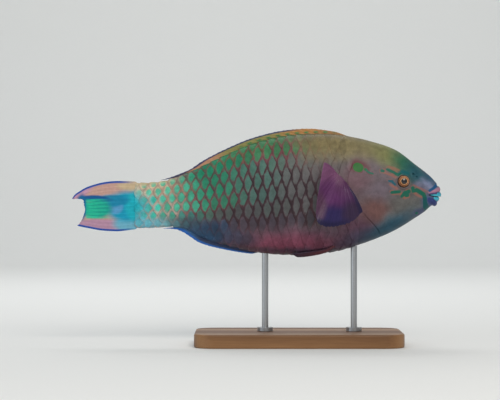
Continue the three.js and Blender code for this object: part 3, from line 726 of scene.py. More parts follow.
def scalePlates(side, homes):
    # the plates at these homes on one side: faces, points, and for each point its place in its own scale
    # with the scale's tone, the scale's home and the place on the bake's map
    lengthwise, crosswise = np.linspace(0, 1, scales["columns"]), np.linspace(-1, 1, scales["rows"])
    a, b = np.meshgrid(lengthwise, crosswise, indexing="ij")
    across = b * scales["halfHigh"]
    rear = 0.5 * np.abs(across) ** scales["round"]  # how far the rear edge curves forward, in pitches
    ahead = rear + (scales["length"] - rear) * a ** 1.15  # from the rear edge to the buried front edge
    sunk = scales["bury"] * ease(0.3, 0.9, a) + scales["lip"] * ease(0.05, 0, a)
    # the upper and lower rims dip under the neighbours
    rim = np.maximum(ease(0.78, 1, np.abs(b)), ease(0.06, 0, a) * 0.45) * (np.abs(b) > 0.7)
    sunk = sunk + rim * 0.55 * (0.4 + scales["bury"])
    raised = scales["rise"] * (1 - ease(0, 0.72, a)) + scales["dome"] * (1 - b ** 2)
    thick = scales["thick"] * (0.35 + 0.65 * ease(0, 0.1, a))
    plateFaces = closedSheet(*a.shape)
    points, faces, local, home, bake = [], [], [], [], []
    for index, (x, up, row) in enumerate(homes):
        tilt = chance.normal(0, scales["tilt"])
        tone = chance.uniform(-1, 1)
        size = 1 + chance.normal(0, scales["sizes"])
        gap = float(scales["rowGap"](x))
        px = x + (ahead * size - 0.5) * scales["pitch"] + 0.3 * tilt * across * gap
        pu = scales["rowLine"](px) + row * scales["rowGap"](px) + across * gap * size
        turn = side * flankTurn(px, pu)
        top = raised * edgeShow(x, up) - sunk + scales["lift"] - shape["coat"]
        points += [skinPoint(px, turn, top).reshape(-1, 3), skinPoint(px, turn, top - thick).reshape(-1, 3)]
        faces.append(plateFaces + 2 * a.size * index)
        local += 2 * [np.stack([ahead, across, np.full(a.shape, tone)], -1).reshape(-1, 3)]
        homeTurn = turnAt(x, up)
        bare = skinPoint(x + 0.1 * scales["pitch"], side * homeTurn)
        home.append(np.tile(bare * mm, (2 * a.size, 1)))
        # the bake's map: each plate a small patch at its own place, outer faces left and inner faces right
        u = (x + 110) / 230 + (a - 0.5) * 0.026
        v = homeTurn / np.pi * 0.94 + 0.03 + b * 0.012
        bake += [np.stack([u * 0.49 + half, v], -1).reshape(-1, 2) for half in (0, 0.5)]
    order = np.vstack(faces)
    lists = (np.vstack(values) for values in (points, local, home, bake))
    return order if side < 0 else order[:, ::-1], *lists


# Scales: thin styrene plates, each airbrushed by hand under a satin lacquer: the eye sees a cool heart, a
# warm edge and fine growth rings, and no two scales of one tone
scaleLook = {
    "roughness": 0.46, "coat": 0.08, "coatRoughness": 0.22, "growthMm": 0.42, "growthDepth": 0.035,
    "heartPlace": (0.56, 0.0), "heartSize": (0.47, 0.73), "mottleMm": 4, "speckMm": 0.7,
    "wanderMm": 3.03, "waver": 0.66, "tones": (0.86, 1.14),
    "heart": (1.3, 0.94, 0.9), "net": (1.05, 1.3, 0.92),  # where each starts and is full, and its strength
}


def makeScaleMaterial():
    material, tree = newMaterial("airbrushedScalePlates")
    place = addNode(tree, "TexCoord").outputs["Object"]
    home = addNode(tree, "Attribute", {"attribute_name": "home"}).outputs["Vector"]
    local = addNode(tree, "Attribute", {"attribute_name": "local"}).outputs["Vector"]
    parts = addNode(tree, "SeparateXYZ", links={0: local})
    strength = addNode(tree, "Group", {"node_tree": netStrength}, {"Place": place})
    # an oval inside each scale's bare part, from the scale's own two measures
    flat = addNode(tree, "CombineXYZ", links={0: parts.outputs[0], 1: parts.outputs[1]})
    fitted = addNode(tree, "Mapping", {
        "vector_type": "TEXTURE", "Location": (*scaleLook["heartPlace"], 0),
        "Scale": (*scaleLook["heartSize"], 1)}, {"Vector": flat})
    far = addNode(tree, "VectorMath", length, {0: fitted})
    wide = addNode(tree, "Group", {"node_tree": heartWidth}, {"Place": home})
    ownFar = addNode(tree, "Math", {"operation": "DIVIDE"}, {0: far, 1: wide})
    wander = addNode(tree, "TexNoise", {"Scale": repeats(scaleLook["wanderMm"]), "Detail": 2.0},
                     {"Vector": place})
    layer = addNode(tree, "Group", {"node_tree": bodyPaint}, {"Place": place})
    for part, distance, group, spot in (("heart", ownFar, ovalPaint, home), ("net", far, netPaint, place)):
        start, full, cover = scaleLook[part]
        loose = addNode(tree, "Math", {**multiplyAdd, 1: scaleLook["waver"]}, {0: wander, 2: distance})
        shown = addNode(tree, "MapRange", {**smooth, "From Min": start, "From Max": full, "To Max": cover},
                        {"Value": loose})
        mask = addNode(tree, "Math", multiply, {0: shown, 1: strength})
        paint = addNode(tree, "Group", {"node_tree": group}, {"Place": spot})
        layer = addNode(tree, "Mix", colourMix, {0: mask, 6: layer, 7: paint})
    dark, light = scaleLook["tones"]
    tone = addNode(tree, "MapRange", {"From Min": -1.0, "To Min": dark, "To Max": light},
                   {"Value": parts.outputs[2]})
    layer = addNode(tree, "HueSaturation", {}, {"Value": tone, "Color": layer})
    layer = mottled(tree, place, layer, scaleLook["mottleMm"], scaleLook["speckMm"])
    layer = paintMarks(tree, place, layer)
    # growth rings, curved like the rear edge, drawn coarser than the real ones so that they show
    bent = addNode(tree, "Math", multiply, {0: parts.outputs[1], 1: parts.outputs[1]})
    ring = addNode(tree, "Math", {**multiplyAdd, 1: -0.5}, {0: bent, 2: parts.outputs[0]})
    rate = 2 * math.pi * scales["pitch"] / scaleLook["growthMm"]
    ripple = addNode(tree, "Math", sine, {0: addNode(tree, "Math", {**multiply, 1: rate}, {0: ring})})
    relief = addNode(tree, "Bump", {"Strength": 0.3, "Distance": scaleLook["growthDepth"] * mm},
                     {"Height": ripple})
    gloss = addNode(tree, "MapRange", {
        "To Min": scaleLook["roughness"] - 0.07, "To Max": scaleLook["roughness"] + 0.09},
        {"Value": wander})
    finishMaterial(tree, {
        "Coat Weight": scaleLook["coat"], "Coat Roughness": scaleLook["coatRoughness"],
        "Specular IOR Level": 0.2}, {"Base Color": layer, "Roughness": gloss, "Normal": relief})
    return material


scaleMaterial = makeScaleMaterial()
homes = scaleHomes()
for side, sideName in sides:
    for part, ahead in (("front", True), ("rear", False)):
        partHomes = [home for home in homes if (home[0] >= scales["parting"]) == ahead]
        faces, points, local, home, bake = scalePlates(side, partHomes)
        piece = newPiece("scales_" + part + "_" + sideName, points, faces, scaleMaterial, ())
        setAttribute(piece, "local", local)
        setAttribute(piece, "home", home)
        setMarks(piece, points)
        setBakeMap(piece, bake[:, 0], bake[:, 1])
        print("scales", part, sideName, 2 * len(faces), "triangles")


# Fins: one closed blade each, rays that fork towards the edge with a thin membrane between them

def rayRidge(along, share, forks):
    # height of the rays across one ray's width (0 to 1): each ray forks twice on its way out
    first = 0.25 * ease(forks[0], 1.15, along)
    second = 0.125 * ease(forks[1], 1.2, along)
    wide = mix(0.17, 0.075, along)
    ridge = 0 * along * share
    for one in (-1, 1):
        for two in (-1, 1):
            ridge = np.maximum(ridge, np.exp(-((share - 0.5 - one * first - two * second) / wide) ** 2))
    return ridge


def finBlade(fin, place, half, marks):
    # place, half: middle surface and half thickness at (along, across); marks: margin and spots from 0 to 1
    rows, columns = fin["rows"], fin["rays"] * fin["perRay"] + 1
    across = np.linspace(0, 1, columns)[None, :] + np.zeros((rows, 1))
    share = across * fin["rays"] - np.floor(np.minimum(across * fin["rays"], fin["rays"] - 1e-6))
    wear = np.interp(across[0], np.linspace(0, 1, 62), chance.uniform(0, 1, 62))
    ridgeEnd = rayRidge(np.ones(columns), share[0], fin["forks"])
    # the edge is notched between the rays and slightly worn
    reach = 1 - fin["notch"] * (1 - ridgeEnd) - fin["wear"] * wear ** 3
    spread = np.linspace(0, 1, rows)[:, None] ** 0.9
    along = spread * mix(1, reach[None, :], spread ** 4)
    probe = 1e-3
    alongStep = place(np.minimum(along + probe, 1), across) - place(np.maximum(along - probe, 0), across)
    acrossStep = place(along, np.minimum(across + probe, 1)) - place(along, np.maximum(across - probe, 0))
    normal = np.cross(alongStep, acrossStep)
    normal /= np.linalg.norm(normal, axis=-1, keepdims=True)
    ridge = rayRidge(along, share, fin["forks"])
    body = place(along, across)
    sway = fin["sway"] * np.sin(2 * np.pi * across * fin["waves"] + 1.3) * along ** 1.5
    puff = half(along, across) + fin["ridge"] * ridge * (1 - 0.6 * along)
    body = body + normal * sway[..., None]
    points = np.concatenate([
        (body + normal * puff[..., None]).reshape(-1, 3), (body - normal * puff[..., None]).reshape(-1, 3)])
    walked = np.cumsum(np.linalg.norm(np.diff(body, axis=0, prepend=body[:1]), axis=-1), axis=0)
    margin, spots = marks(body, along, across)
    values = {"ridge": ridge, "walked": walked, "margin": margin, "spots": spots}
    return points, closedSheet(rows, columns), {name: np.tile(v.ravel(), 2) for name, v in values.items()}


def finBake(rows, columns):
    # the two faces of a blade side by side on the bake's map
    u, v = np.meshgrid(np.linspace(0.01, 0.99, columns), np.linspace(0.01, 0.485, rows))
    return np.concatenate([u.ravel(), u.ravel()]), np.concatenate([v.ravel(), v.ravel() + 0.5])


# Fins: clear resin blades brushed with translucent colour: the eye sees glossy rays between duller
# membranes, and fine joints across each ray
finLook = {
    "roughness": 0.44, "coat": 0.1, "coatRoughness": 0.14, "jointMm": 1.05, "jointDepth": 0.05,
    "streakMm": 2.381,
}


def makeFinMaterial(name, paint, marginTint, spotTint, membrane):
    # membrane: how bright the paint stays between the rays
    material, tree = newMaterial(name)
    place = addNode(tree, "TexCoord").outputs["Object"]
    ridge = addNode(tree, "Attribute", {"attribute_name": "ridge"}).outputs["Fac"]
    layer = addNode(tree, "Group", {"node_tree": paint}, {"Place": place})
    for mark, tint in (("spots", spotTint), ("margin", marginTint)):
        shown = addNode(tree, "Attribute", {"attribute_name": mark}).outputs["Fac"]
        layer = addNode(tree, "Mix", {**colourMix, 7: colour(tint)}, {0: shown, 6: layer})
    # the colour gathers unevenly along the rays
    streak = addNode(tree, "TexNoise", {"Scale": repeats(finLook["streakMm"]), "Detail": 2.0},
                     {"Vector": place})
    tone = addNode(tree, "MapRange", {"To Min": membrane, "To Max": 2.02 - membrane}, {"Value": ridge})
    uneven = addNode(tree, "MapRange", {"To Min": 0.84, "To Max": 1.16}, {"Value": streak})
    value = addNode(tree, "Math", multiply, {0: tone, 1: uneven})
    layer = addNode(tree, "HueSaturation", {}, {"Value": value, "Color": layer})
    # joints of the rays: fine steps about a millimetre apart
    walked = addNode(tree, "Attribute", {"attribute_name": "walked"}).outputs["Fac"]
    wave = addNode(tree, "Math", {**multiply, 1: 2 * math.pi / finLook["jointMm"]}, {0: walked})
    step = addNode(tree, "Math", multiply, {0: addNode(tree, "Math", sine, {0: wave}), 1: ridge})
    relief = addNode(tree, "Bump", {"Strength": 0.4, "Distance": finLook["jointDepth"] * mm},
                     {"Height": step})
    gloss = addNode(tree, "MapRange", {
        "To Min": finLook["roughness"] + 0.14, "To Max": finLook["roughness"]}, {"Value": ridge})
    finishMaterial(tree, {
        "Coat Weight": finLook["coat"], "Coat Roughness": finLook["coatRoughness"],
        "Specular IOR Level": 0.2}, {"Base Color": layer, "Roughness": gloss, "Normal": relief})
    return material


def addFin(name, node, fin, place, half, marks, material, mirror=False):
    points, faces, values = finBlade(fin, place, half, marks)
    if mirror:
        points = points * (1, -1, 1)
        faces = faces[:, ::-1]
    piece = newPiece(name, points, faces, material, (node,))
    for key, value in values.items():
        setAttribute(piece, key, value)
    setBakeMap(piece, *finBake(fin["rows"], fin["rays"] * fin["perRay"] + 1))
    print(name + ":", len(faces), "quads")


def addFinPair(name, fin, place, half, marks, material):
    # the left fin mirrors the right one
    for side, sideName in sides:
        addFin(name + "_blade_" + sideName, name + "_fin_" + sideName, fin, place, half, marks, material,
               side > 0)


# Tail fin: gathered, with its upper tip the longer

tail = {
    "top": smoothLine([
        (-150, -5.7), (-147.4, -2), (-143.3, 0.8), (-139.3, 3.2), (-135.2, 4.9), (-127, 7.3), (-119, 8.6),
        (-110.8, 8.9), (-97, 8.4)]),
    "bottom": smoothLine([
        (-146, -27.2), (-143.3, -28), (-135.2, -29.6), (-127, -31.1), (-119, -31.7), (-110.8, -31.8),
        (-97, -30.1)]),
    "reach": smoothLine([
        (0, -150), (0.08, -149), (0.15, -147.4), (0.2, -145.2), (0.25, -142.4), (0.3, -141), (0.45, -140.1),
        (0.55, -139.4), (0.66, -140.4), (0.78, -141.6), (0.9, -143.6), (1, -145.8)]),
    "rays": 13, "perRay": 16, "rows": 66, "forks": (0.3, 0.6), "ridge": 0.3, "half": 0.24, "thinning": 4.6,
    "root": -95.2, "tuck": 2.2, "inset": 1.0, "notch": 0.006, "wear": 0.012, "sway": 0.12, "waves": 2.5,
    "margin": (1.1, 2.1), "marginFrom": (-96, -112),
    "blockRear": (-139.4, -137.6), "blockFront": (-116, -123), "blockHigh": (-21.6, -5.8),
    "blockPale": (-134, -118),
}


def tailPlace(along, across):
    # the root runs on into the stem, drawn in at its two edges so that the skin covers it
    x = mix(tail["root"], tail["reach"](across), along)
    tuck = tail["tuck"] * ease(skin["rear"], tail["root"], x)
    height = mix(tail["top"](x) - tuck, tail["bottom"](x) + tuck, across)
    return np.stack([x, 0 * x, axisHeight + height], -1)


def tailHalf(along, across):
    # as thick as the stem at the root, thinning quickly to the blade
    height = mix(shape["back"](shape["tailRoot"]), -shape["belly"](shape["tailRoot"]), across)
    root = np.maximum(sideAt(shape["tailRoot"], height) - tail["inset"], tail["half"])
    return mix(tail["half"] * (1 - 0.6 * ease(0.9, 1, along)), root, np.exp(-tail["thinning"] * along))


def tailMarks(body, along, across):
    x, height = body[..., 0], body[..., 2] - axisHeight
    edge = np.minimum(tail["top"](x) - height, height - tail["bottom"](x))
    margin = (1 - ease(*tail["margin"], edge)) * ease(*tail["marginFrom"], x)
    # the green block at the fin's rear, brightest along its rays
    block = ease(*tail["blockRear"], x) * ease(*tail["blockFront"], x)
    block = block * band(*tail["blockHigh"], 0.7, height)
    rays = rayRidge(along, across * tail["rays"] % 1, tail["forks"])
    return margin, block * mix(1, 0.5, ease(*tail["blockPale"], x)) * mix(0.5, 1, rays)


tailPaint = paintGroup("tailPaint", "#c29a8e", [
    (-96, 5, 18, 5, 0, "#c4ae8c", 0.95), (-146, 0, 16, 6, 30, "#c092ac", 0.9),
    (-128, -27, 28, 5, 0, "#b088a0", 0.95), (-100, -26, 17, 7, 0, "#66aec4", 0.95),
    (-104, -12, 20, 13, 0, "#0b96b6", 1), (-98, -12, 9, 13, 0, "#14acba", 0.9),
    (-115, -12, 7, 6, 0, "#5c98c6", 0.85), (-118, -7, 15, 5, 0, "#0580a4", 0.95),
    (-131, -5.4, 14, 3, -4, "#0c5690", 1), (-130, -14, 13, 8, 0, "#088c88", 1),
    (-142, -12, 4.6, 11, 0, "#0a6294", 1),
], softness=0.3, waver=1.2)
tailMaterial = makeFinMaterial("paintedTailBlade", tailPaint, "#1449a0", "#1fba92", 0.95)
addFin("tail_blade", "tail_fin", tail, tailPlace, tailHalf, tailMarks, tailMaterial)


# Dorsal and anal fins: mostly folded, low along the back and the belly

folded = {
    "perRay": 12, "rows": 20, "forks": (0.55, 0.85), "ridge": 0.24, "sink": 1.8, "rootHalf": 0.85,
    "tipHalf": 0.22, "notch": 0.03, "wear": 0.02, "sway": 0.08, "waves": 5,
}
dorsal = {
    **folded, "front": 79, "rear": -50, "leanFront": 14, "leanRear": 29, "rays": 19, "line": shape["back"],
    "side": 1, "margin": (0.74, 0.86), "marginEnds": (22, 40), "dashFrom": -14, "dashTo": 62,
    "rise": smoothLine([
        (-80, 1.3), (-66, 1.6), (-54, 2), (-46, 3.8), (-30, 4.6), (0, 4.4), (27, 4.1), (44, 3.7), (56, 2.4),
        (66, 1.3)]),
}
anal = {
    **folded, "front": 6, "rear": -53, "leanFront": 10, "leanRear": 24, "rays": 12, "line": shape["belly"],
    "side": -1, "margin": (0.62, 0.82),
    "rise": smoothLine([
        (-78, 1.4), (-66, 1.8), (-58, 4), (-53, 4.7), (-46, 5), (-30, 3.9), (-14, 2.7), (0, 1.6)]),
}


def foldedPlace(fin):
    # a fin laid back along the body's outline
    def place(along, across):
        root = mix(fin["front"], fin["rear"], across)
        lean = mix(fin["leanFront"], fin["leanRear"], across)
        x = root - lean * along
        rise = fin["line"](x) + mix(-fin["sink"], fin["rise"](root - lean), along)
        return np.stack([x, 0 * x, axisHeight + fin["side"] * rise], -1)

    return place


def foldedHalf(along, across):
    return mix(folded["rootHalf"], folded["tipHalf"], along) * (1 - 0.5 * ease(0.9, 1, along))


def dorsalMarks(body, along, across):
    # a dark margin at the rear, and a green dash at every scale's width along the fin's foot
    x = body[..., 0]
    high = body[..., 2] - axisHeight - shape["back"](x)
    margin = ease(*dorsal["margin"], along) * (1 - ease(*dorsal["marginEnds"], x)) * 0.95
    dash = ease(-0.1, 0.4, np.sin(2 * np.pi * x / scales["pitch"])) * band(0.1, 1.5, 0.35, high)
    return margin, dash * band(dorsal["dashFrom"], dorsal["dashTo"], 5, x) * 0.9


def analMarks(body, along, across):
    return ease(*anal["margin"], along), 0 * along


dorsalPaint = paintGroup("dorsalPaint", "#b07c46", [
    (-10, 44, 36, 20, 20, "#8a8650", 0.95), (-40, 20, 16, 12, 30, "#bd8c6e", 0.95),
    (-68, 12, 16, 10, 0, "#3c3f58", 0.9), (66, 50, 18, 10, 0, "#957048", 0.8),
], softness=0.5, waver=2.5)
analPaint = paintGroup("analPaint", "#33405c", [
    (-20, -48, 24, 10, 0, "#2c3a5a", 0.9), (-60, -32, 14, 10, 0, "#3f6a94", 0.9)], softness=0.5, waver=2.5)
addFin("dorsal_blade", "dorsal_fin", dorsal, foldedPlace(dorsal), foldedHalf, dorsalMarks,
       makeFinMaterial("paintedDorsalBlade", dorsalPaint, "#243460", "#257a44", 0.9))
addFin("anal_blade", "anal_fin", anal, foldedPlace(anal), foldedHalf, analMarks,
       makeFinMaterial("paintedAnalBlade", analPaint, "#2460b0", "#2460b0", 0.9))


# Pectoral fins: swept down and back, standing out from the flank

pectoral = {
    "rootFront": (71.4, 6.6), "rootRear": (62.6, 16.4), "sink": 3.2, "bow": 3,
    "x": smoothLine([
        (0, 82.6), (0.15, 74.5), (0.3, 64.2), (0.45, 54), (0.6, 47.6), (0.75, 47), (0.88, 50), (1, 53.6)]),
    "height": smoothLine([
        (0, -15.4), (0.15, -23.5), (0.3, -27.2), (0.45, -27.7), (0.6, -23.5), (0.75, -11), (0.88, 6),
        (1, 23.4)]),
    "out": smoothLine([
        (0, 41), (0.15, 38), (0.3, 32), (0.45, 25), (0.6, 21.5), (0.75, 20), (0.88, 18), (1, 14)]),
    "rays": 12, "perRay": 16, "rows": 60, "forks": (0.32, 0.62), "ridge": 0.26, "rootHalf": 0.95,
    "tipHalf": 0.16, "notch": 0.014, "wear": 0.012, "sway": 0.16, "waves": 2,
    "lobe": 2.5, "lobeSize": 5.6, "lobePlace": (66.4, 11.2),
}


def pectoralPlace(along, across):
    x = mix(pectoral["rootFront"][0], pectoral["rootRear"][0], across)
    height = mix(pectoral["rootFront"][1], pectoral["rootRear"][1], across)
    flank = sideAt(x, height)
    bow = 4 * along * (1 - along) * (1 - 0.5 * across) * pectoral["bow"]
    return np.stack([
        mix(x, pectoral["x"](across), along),
        mix(pectoral["sink"] - flank, -flank - pectoral["out"](across), along) - bow,
        axisHeight + mix(height, pectoral["height"](across), along) + bow], -1)


def pectoralHalf(along, across):
    # the blade's half thickness, with the fleshy lobe at its root
    body = pectoralPlace(along, across)
    x, height = pectoral["lobePlace"]
    far = np.linalg.norm(body - (x, -sideAt(x, height) - 0.4, axisHeight + height), axis=-1)
    lobe = pectoral["lobe"] * np.exp(-(far / pectoral["lobeSize"]) ** 2)
    blade = mix(pectoral["rootHalf"], pectoral["tipHalf"], along ** 0.4)
    return (blade + lobe) * (1 - 0.4 * ease(0.93, 1, along))


def pectoralMarks(body, along, across):
    # dark tips on the middle rays and a dark leading edge, and a painted highlight on the foot: a pale patch
    # where light glints on the fleshy base
    tips = ease(0.88, 0.96, along) * band(0.2, 0.62, 0.08, across)
    leading = (1 - ease(0.02, 0.07, across)) * ease(0.15, 0.4, along)
    # painted highlight: the pale glare on the fin's fleshy base, drawn as a pale patch
    foot = np.exp(-((along - 0.1) / 0.1) ** 2) * band(0.25, 0.8, 0.12, across)
    return np.maximum(tips, leading) * 0.8, foot * 0.4


pectoralPaint = paintGroup("pectoralPaint", "#4b2a50", [
    (57, 14, 15, 17, 0, "#7e4f72", 0.95), (58, -1, 14, 12, 0, "#603462", 0.9),
    (70, 2, 9, 8, 0, "#5a3556", 0.6), (64, -20, 22, 9, 0, "#2e2552", 1),
    (49, -12, 6, 14, 0, "#5c4053", 0.8), (76, -16, 9, 10, -40, "#35243c", 0.9),
    (52, -25, 9, 4, 0, "#252048", 0.8),
], softness=0.55, waver=2)
# the pale pink spot tint is the painted highlight on the fin's fleshy base
pectoralMaterial = makeFinMaterial("paintedPectoralBlade", pectoralPaint, "#1c1638", "#7a5c6c", 0.97)
addFinPair("pectoral", pectoral, pectoralPlace, pectoralHalf, pectoralMarks, pectoralMaterial)


# Pelvic fins: folded on the belly

pelvic = {
    "front": 66, "root": 5, "length": 38, "inner": 27, "turn": 0.845, "sweep": 0.035, "rootTurn": 0.035,
    "spread": 0.055, "sink": 1.8, "lift": 1.5, "rise": 0.5, "rays": 6, "perRay": 16, "rows": 50,
    "forks": (0.35, 0.65), "ridge": 0.26, "rootHalf": 0.95, "tipHalf": 0.2, "notch": 0.02, "wear": 0.015,
    "sway": 0.1, "waves": 1.5,
}


def pelvicPlace(along, across):
    x = pelvic["front"] - pelvic["root"] * across - mix(pelvic["length"], pelvic["inner"], across) * along
    turn = pelvic["turn"] + pelvic["rootTurn"] * across
    turn = turn + (pelvic["sweep"] + pelvic["spread"] * across) * along
    out = 1 - (1 - np.minimum(along * 2.6, 1)) ** 2
    return skinPoint(x, -np.pi * turn, mix(-pelvic["sink"], pelvic["lift"], out) + pelvic["rise"] * along)


def pelvicHalf(along, across):
    return mix(pelvic["rootHalf"], pelvic["tipHalf"], along) * (1 - 0.5 * ease(0.92, 1, along))


def pelvicMarks(body, along, across):
    # a faint dark leading edge, and duller tips
    return (1 - ease(0.02, 0.1, across)) * ease(0.1, 0.3, along) * 0.5, ease(0.75, 1, along) * 0.5


pelvicPaint = paintGroup("pelvicPaint", "#5f333c", [
    (30, -48, 16, 10, 0, "#4c3644", 0.9), (60, -42, 12, 10, 0, "#6a383f", 0.9)], softness=0.5, waver=2)
pelvicMaterial = makeFinMaterial("paintedPelvicBlade", pelvicPaint, "#3a3448", "#3c3a50", 0.9)
addFinPair("pelvic", pelvic, pelvicPlace, pelvicHalf, pelvicMarks, pelvicMaterial)


# Eyes: glass balls painted and lacquered: the eye sees a black pupil in a gold ring, fibres in the iris,
# and a small sharp highlight on a wet surface

eyeLook = {
    "pupil": 2.4, "ring": 3.4, "iris": 4.3, "cornea": 0.28, "dip": 0.16, "around": 128, "rings": 80,
    "black": "#121118", "gold": "#d29a60", "orange": "#8c5440", "outer": "#6a4a46", "fibres": 46,
    "yaw": 0.08, "roll": 0.05, "unevenMm": 1.111, "fibreDepth": 0.04, "reach": 10,
    "bands": [  # millimetres from the eye's axis
        (0, "black"), (2.7, "black"), (2.85, "gold"), (3.25, "gold"), (3.6, "orange"), (4.25, "orange"),
        (4.55, "gold"), (4.75, "outer"), (10, "outer")],
}


def eyeAxis(side):
    # where the eye looks: outward, a little forward and up
    yaw, roll = eyeLook["yaw"], eyeLook["roll"]
    return np.array([math.sin(yaw), side * math.cos(yaw) * math.cos(roll), math.cos(yaw) * math.sin(roll)])


def eyePoints(side):
    # rings round the eye's own axis, from the front of the pupil to the back of the ball
    turn = np.linspace(0, np.pi, eyeLook["rings"])[1:-1, None] ** 1.15 / np.pi ** 0.15
    spin = np.linspace(0, 2 * np.pi, eyeLook["around"], endpoint=False)[None, :]
    fromAxis = eye["radius"] * np.sin(turn)
    front = turn < np.pi / 2
    pupil = 1 - ease(eyeLook["pupil"] - 0.1, eyeLook["pupil"] + 0.25, fromAxis)
    dip = eyeLook["dip"] * band(eyeLook["ring"], eyeLook["iris"], 0.3, fromAxis)
    radius = eye["radius"] - eyeLook["cornea"] + np.where(front, eyeLook["cornea"] * pupil - dip, 0)
    axis = eyeAxis(side)
    flat = np.cross(axis, (0, 0, 1))
    flat /= np.linalg.norm(flat)
    up = np.cross(flat, axis)
    flank = sideAt(eye["x"], eye["height"]) + eye["proud"] - eye["radius"]
    centre = np.array([eye["x"], side * flank, axisHeight + eye["height"]])
    spoke = np.cos(spin)[..., None] * flat + np.sin(spin)[..., None] * up
    out = np.cos(turn)[..., None] * axis + np.sin(turn)[..., None] * spoke
    behind = 9  # stands for every distance on the ball's hidden half
    return centre + out * radius[..., None], np.where(front, fromAxis, behind) + 0 * spin, spin + 0 * turn


def makeEyeMaterial():
    material, tree = newMaterial("lacqueredGlassEye")
    place = addNode(tree, "TexCoord").outputs["Object"]
    fibre = addNode(tree, "Attribute", {"attribute_name": "fibre"}).outputs["Fac"]
    fromAxis = addNode(tree, "Attribute", {"attribute_name": "fromAxis"}).outputs["Fac"]
    cloud = addNode(tree, "TexNoise", {"Scale": repeats(eyeLook["unevenMm"]), "Detail": 3.0},
                    {"Vector": place})
    uneven = addNode(tree, "Math", {**multiplyAdd, 1: 0.5}, {0: cloud, 2: fromAxis})
    scaled = addNode(tree, "Math", {**multiply, 1: 1 / eyeLook["reach"]}, {0: uneven})
    bands = addNode(tree, "ValToRGB", links={0: scaled})
    ramp = bands.color_ramp
    while len(ramp.elements) < len(eyeLook["bands"]):
        ramp.elements.new(0.5)
    for element, (distance, name) in zip(ramp.elements, eyeLook["bands"]):
        element.position = distance / eyeLook["reach"]
        element.color = colour(eyeLook[name])
    tone = addNode(tree, "MapRange", {"From Min": -1.0, "To Min": 0.8, "To Max": 1.15}, {"Value": fibre})
    layer = addNode(tree, "HueSaturation", {}, {"Value": tone, "Color": bands})
    relief = addNode(tree, "Bump", {"Strength": 0.25, "Distance": eyeLook["fibreDepth"] * mm},
                     {"Height": fibre})
    finishMaterial(tree, {"Roughness": 0.3, "Coat Weight": 0.7, "Coat Roughness": 0.04, "IOR": 1.4},
                   {"Base Color": layer, "Normal": relief})
    return material


eyeMaterial = makeEyeMaterial()
for side, sideName in sides:
    rings, fromAxis, spin = eyePoints(side)
    points, faces = closedTube(rings)
    piece = newPiece("eyeball_" + sideName, points, faces, eyeMaterial, ("eye_" + sideName,))
    ends = [fromAxis.min(), fromAxis.max()]
    setAttribute(piece, "fromAxis", np.concatenate([fromAxis.ravel(), ends]))
    fibre = np.sin(spin * eyeLook["fibres"] + 1.7 * np.sin(spin * 7) + fromAxis)
    fibre = fibre * ease(eyeLook["pupil"], eyeLook["pupil"] + 0.6, fromAxis)
    setAttribute(piece, "fibre", np.concatenate([fibre.ravel(), [0, 0]]))
print("eyes set")


# Beak: crescents of fused teeth, a groove down the middle and rows of small tooth tips along the edge

beak = {
    "upper": {"front": 150, "width": 7.4, "root": 1.3, "edge": -3.8, "cornerEdge": -2.9, "down": -1},
    "lower": {"front": 148.5, "width": 6.6, "root": -8.4, "edge": -4.3, "cornerEdge": -3.7, "down": 1},
    "centre": 139.6, "groove": 0.4, "grooveTurn": 0.035, "around": 160,
    "toothPitch": 0.085, "toothHigh": 0.16, "beadHigh": 0.12, "beadRows": 5,
    "section": [(1.9, 0), (0.4, 0.4), (0, 0.72), (0.3, 1), (0.9, 1), (2.6, 0.55), (3.3, 0)],
    "dark": "#14587f", "light": "#2fa9c0", "cloudMm": 1.667, "cloudDepth": 0.05,
}


def beakRings(plate):
    # the section's corners rounded off by cutting them three times
    section = np.array(beak["section"], float)
    for cut in range(3):
        following = np.roll(section, -1, axis=0)
        corners = [mix(section, following, 0.25), mix(section, following, 0.75)]
        section = np.stack(corners, 1).reshape(-1, 2)
    depth, share = section[:, 0][None, :], section[:, 1][None, :]
    turn = np.linspace(-0.47, 0.47, beak["around"])[:, None] * np.pi
    forward = np.cos(turn)
    outer = ease(1.6, 0.4, depth) * ease(0.1, 0.5, share)
    groove = beak["groove"] * np.exp(-(turn / beak["grooveTurn"]) ** 2) * outer
    teeth = turn / beak["toothPitch"]
    bead = np.abs(np.sin(np.pi * (teeth + 0.5 * np.floor(share * beak["beadRows"]))))
    edge = mix(plate["cornerEdge"], plate["edge"], forward ** 1.2)
    edge = edge + plate["down"] * beak["toothHigh"] * (1 - np.abs(np.sin(np.pi * teeth)))
    inset = depth + groove + beak["beadHigh"] * (1 - bead) * outer
    return np.stack([
        beak["centre"] + (plate["front"] - beak["centre"] - inset) * forward,
        (plate["width"] - inset) * np.sin(turn),
        axisHeight + mix(plate["root"], edge, share)], -1), share + 0 * turn


def makeBeakMaterial():
    # enamel fired on the cast plates: the eye sees a clear blue that pales to the cutting edge, a hard gloss
    # and a slightly uneven surface
    material, tree = newMaterial("enamelledBeakPlate")
    place = addNode(tree, "TexCoord").outputs["Object"]
    toEdge = addNode(tree, "Attribute", {"attribute_name": "toEdge"}).outputs["Fac"]
    cloud = addNode(tree, "TexNoise", {"Scale": repeats(beak["cloudMm"]), "Detail": 3.0}, {"Vector": place})
    moved = addNode(tree, "Math", {**multiplyAdd, 1: 0.35}, {0: cloud, 2: toEdge})
    bands = addNode(tree, "ValToRGB", links={0: moved})
    first, last = bands.color_ramp.elements
    first.position, first.color = 0.25, colour(beak["dark"])
    last.position, last.color = 1.1 / 1.35, colour(beak["light"])
    relief = addNode(tree, "Bump", {"Strength": 0.2, "Distance": beak["cloudDepth"] * mm}, {"Height": cloud})
    finishMaterial(tree, {"Roughness": 0.24, "Coat Weight": 0.5, "Coat Roughness": 0.08, "IOR": 1.55},
                   {"Base Color": bands, "Normal": relief})
    return material


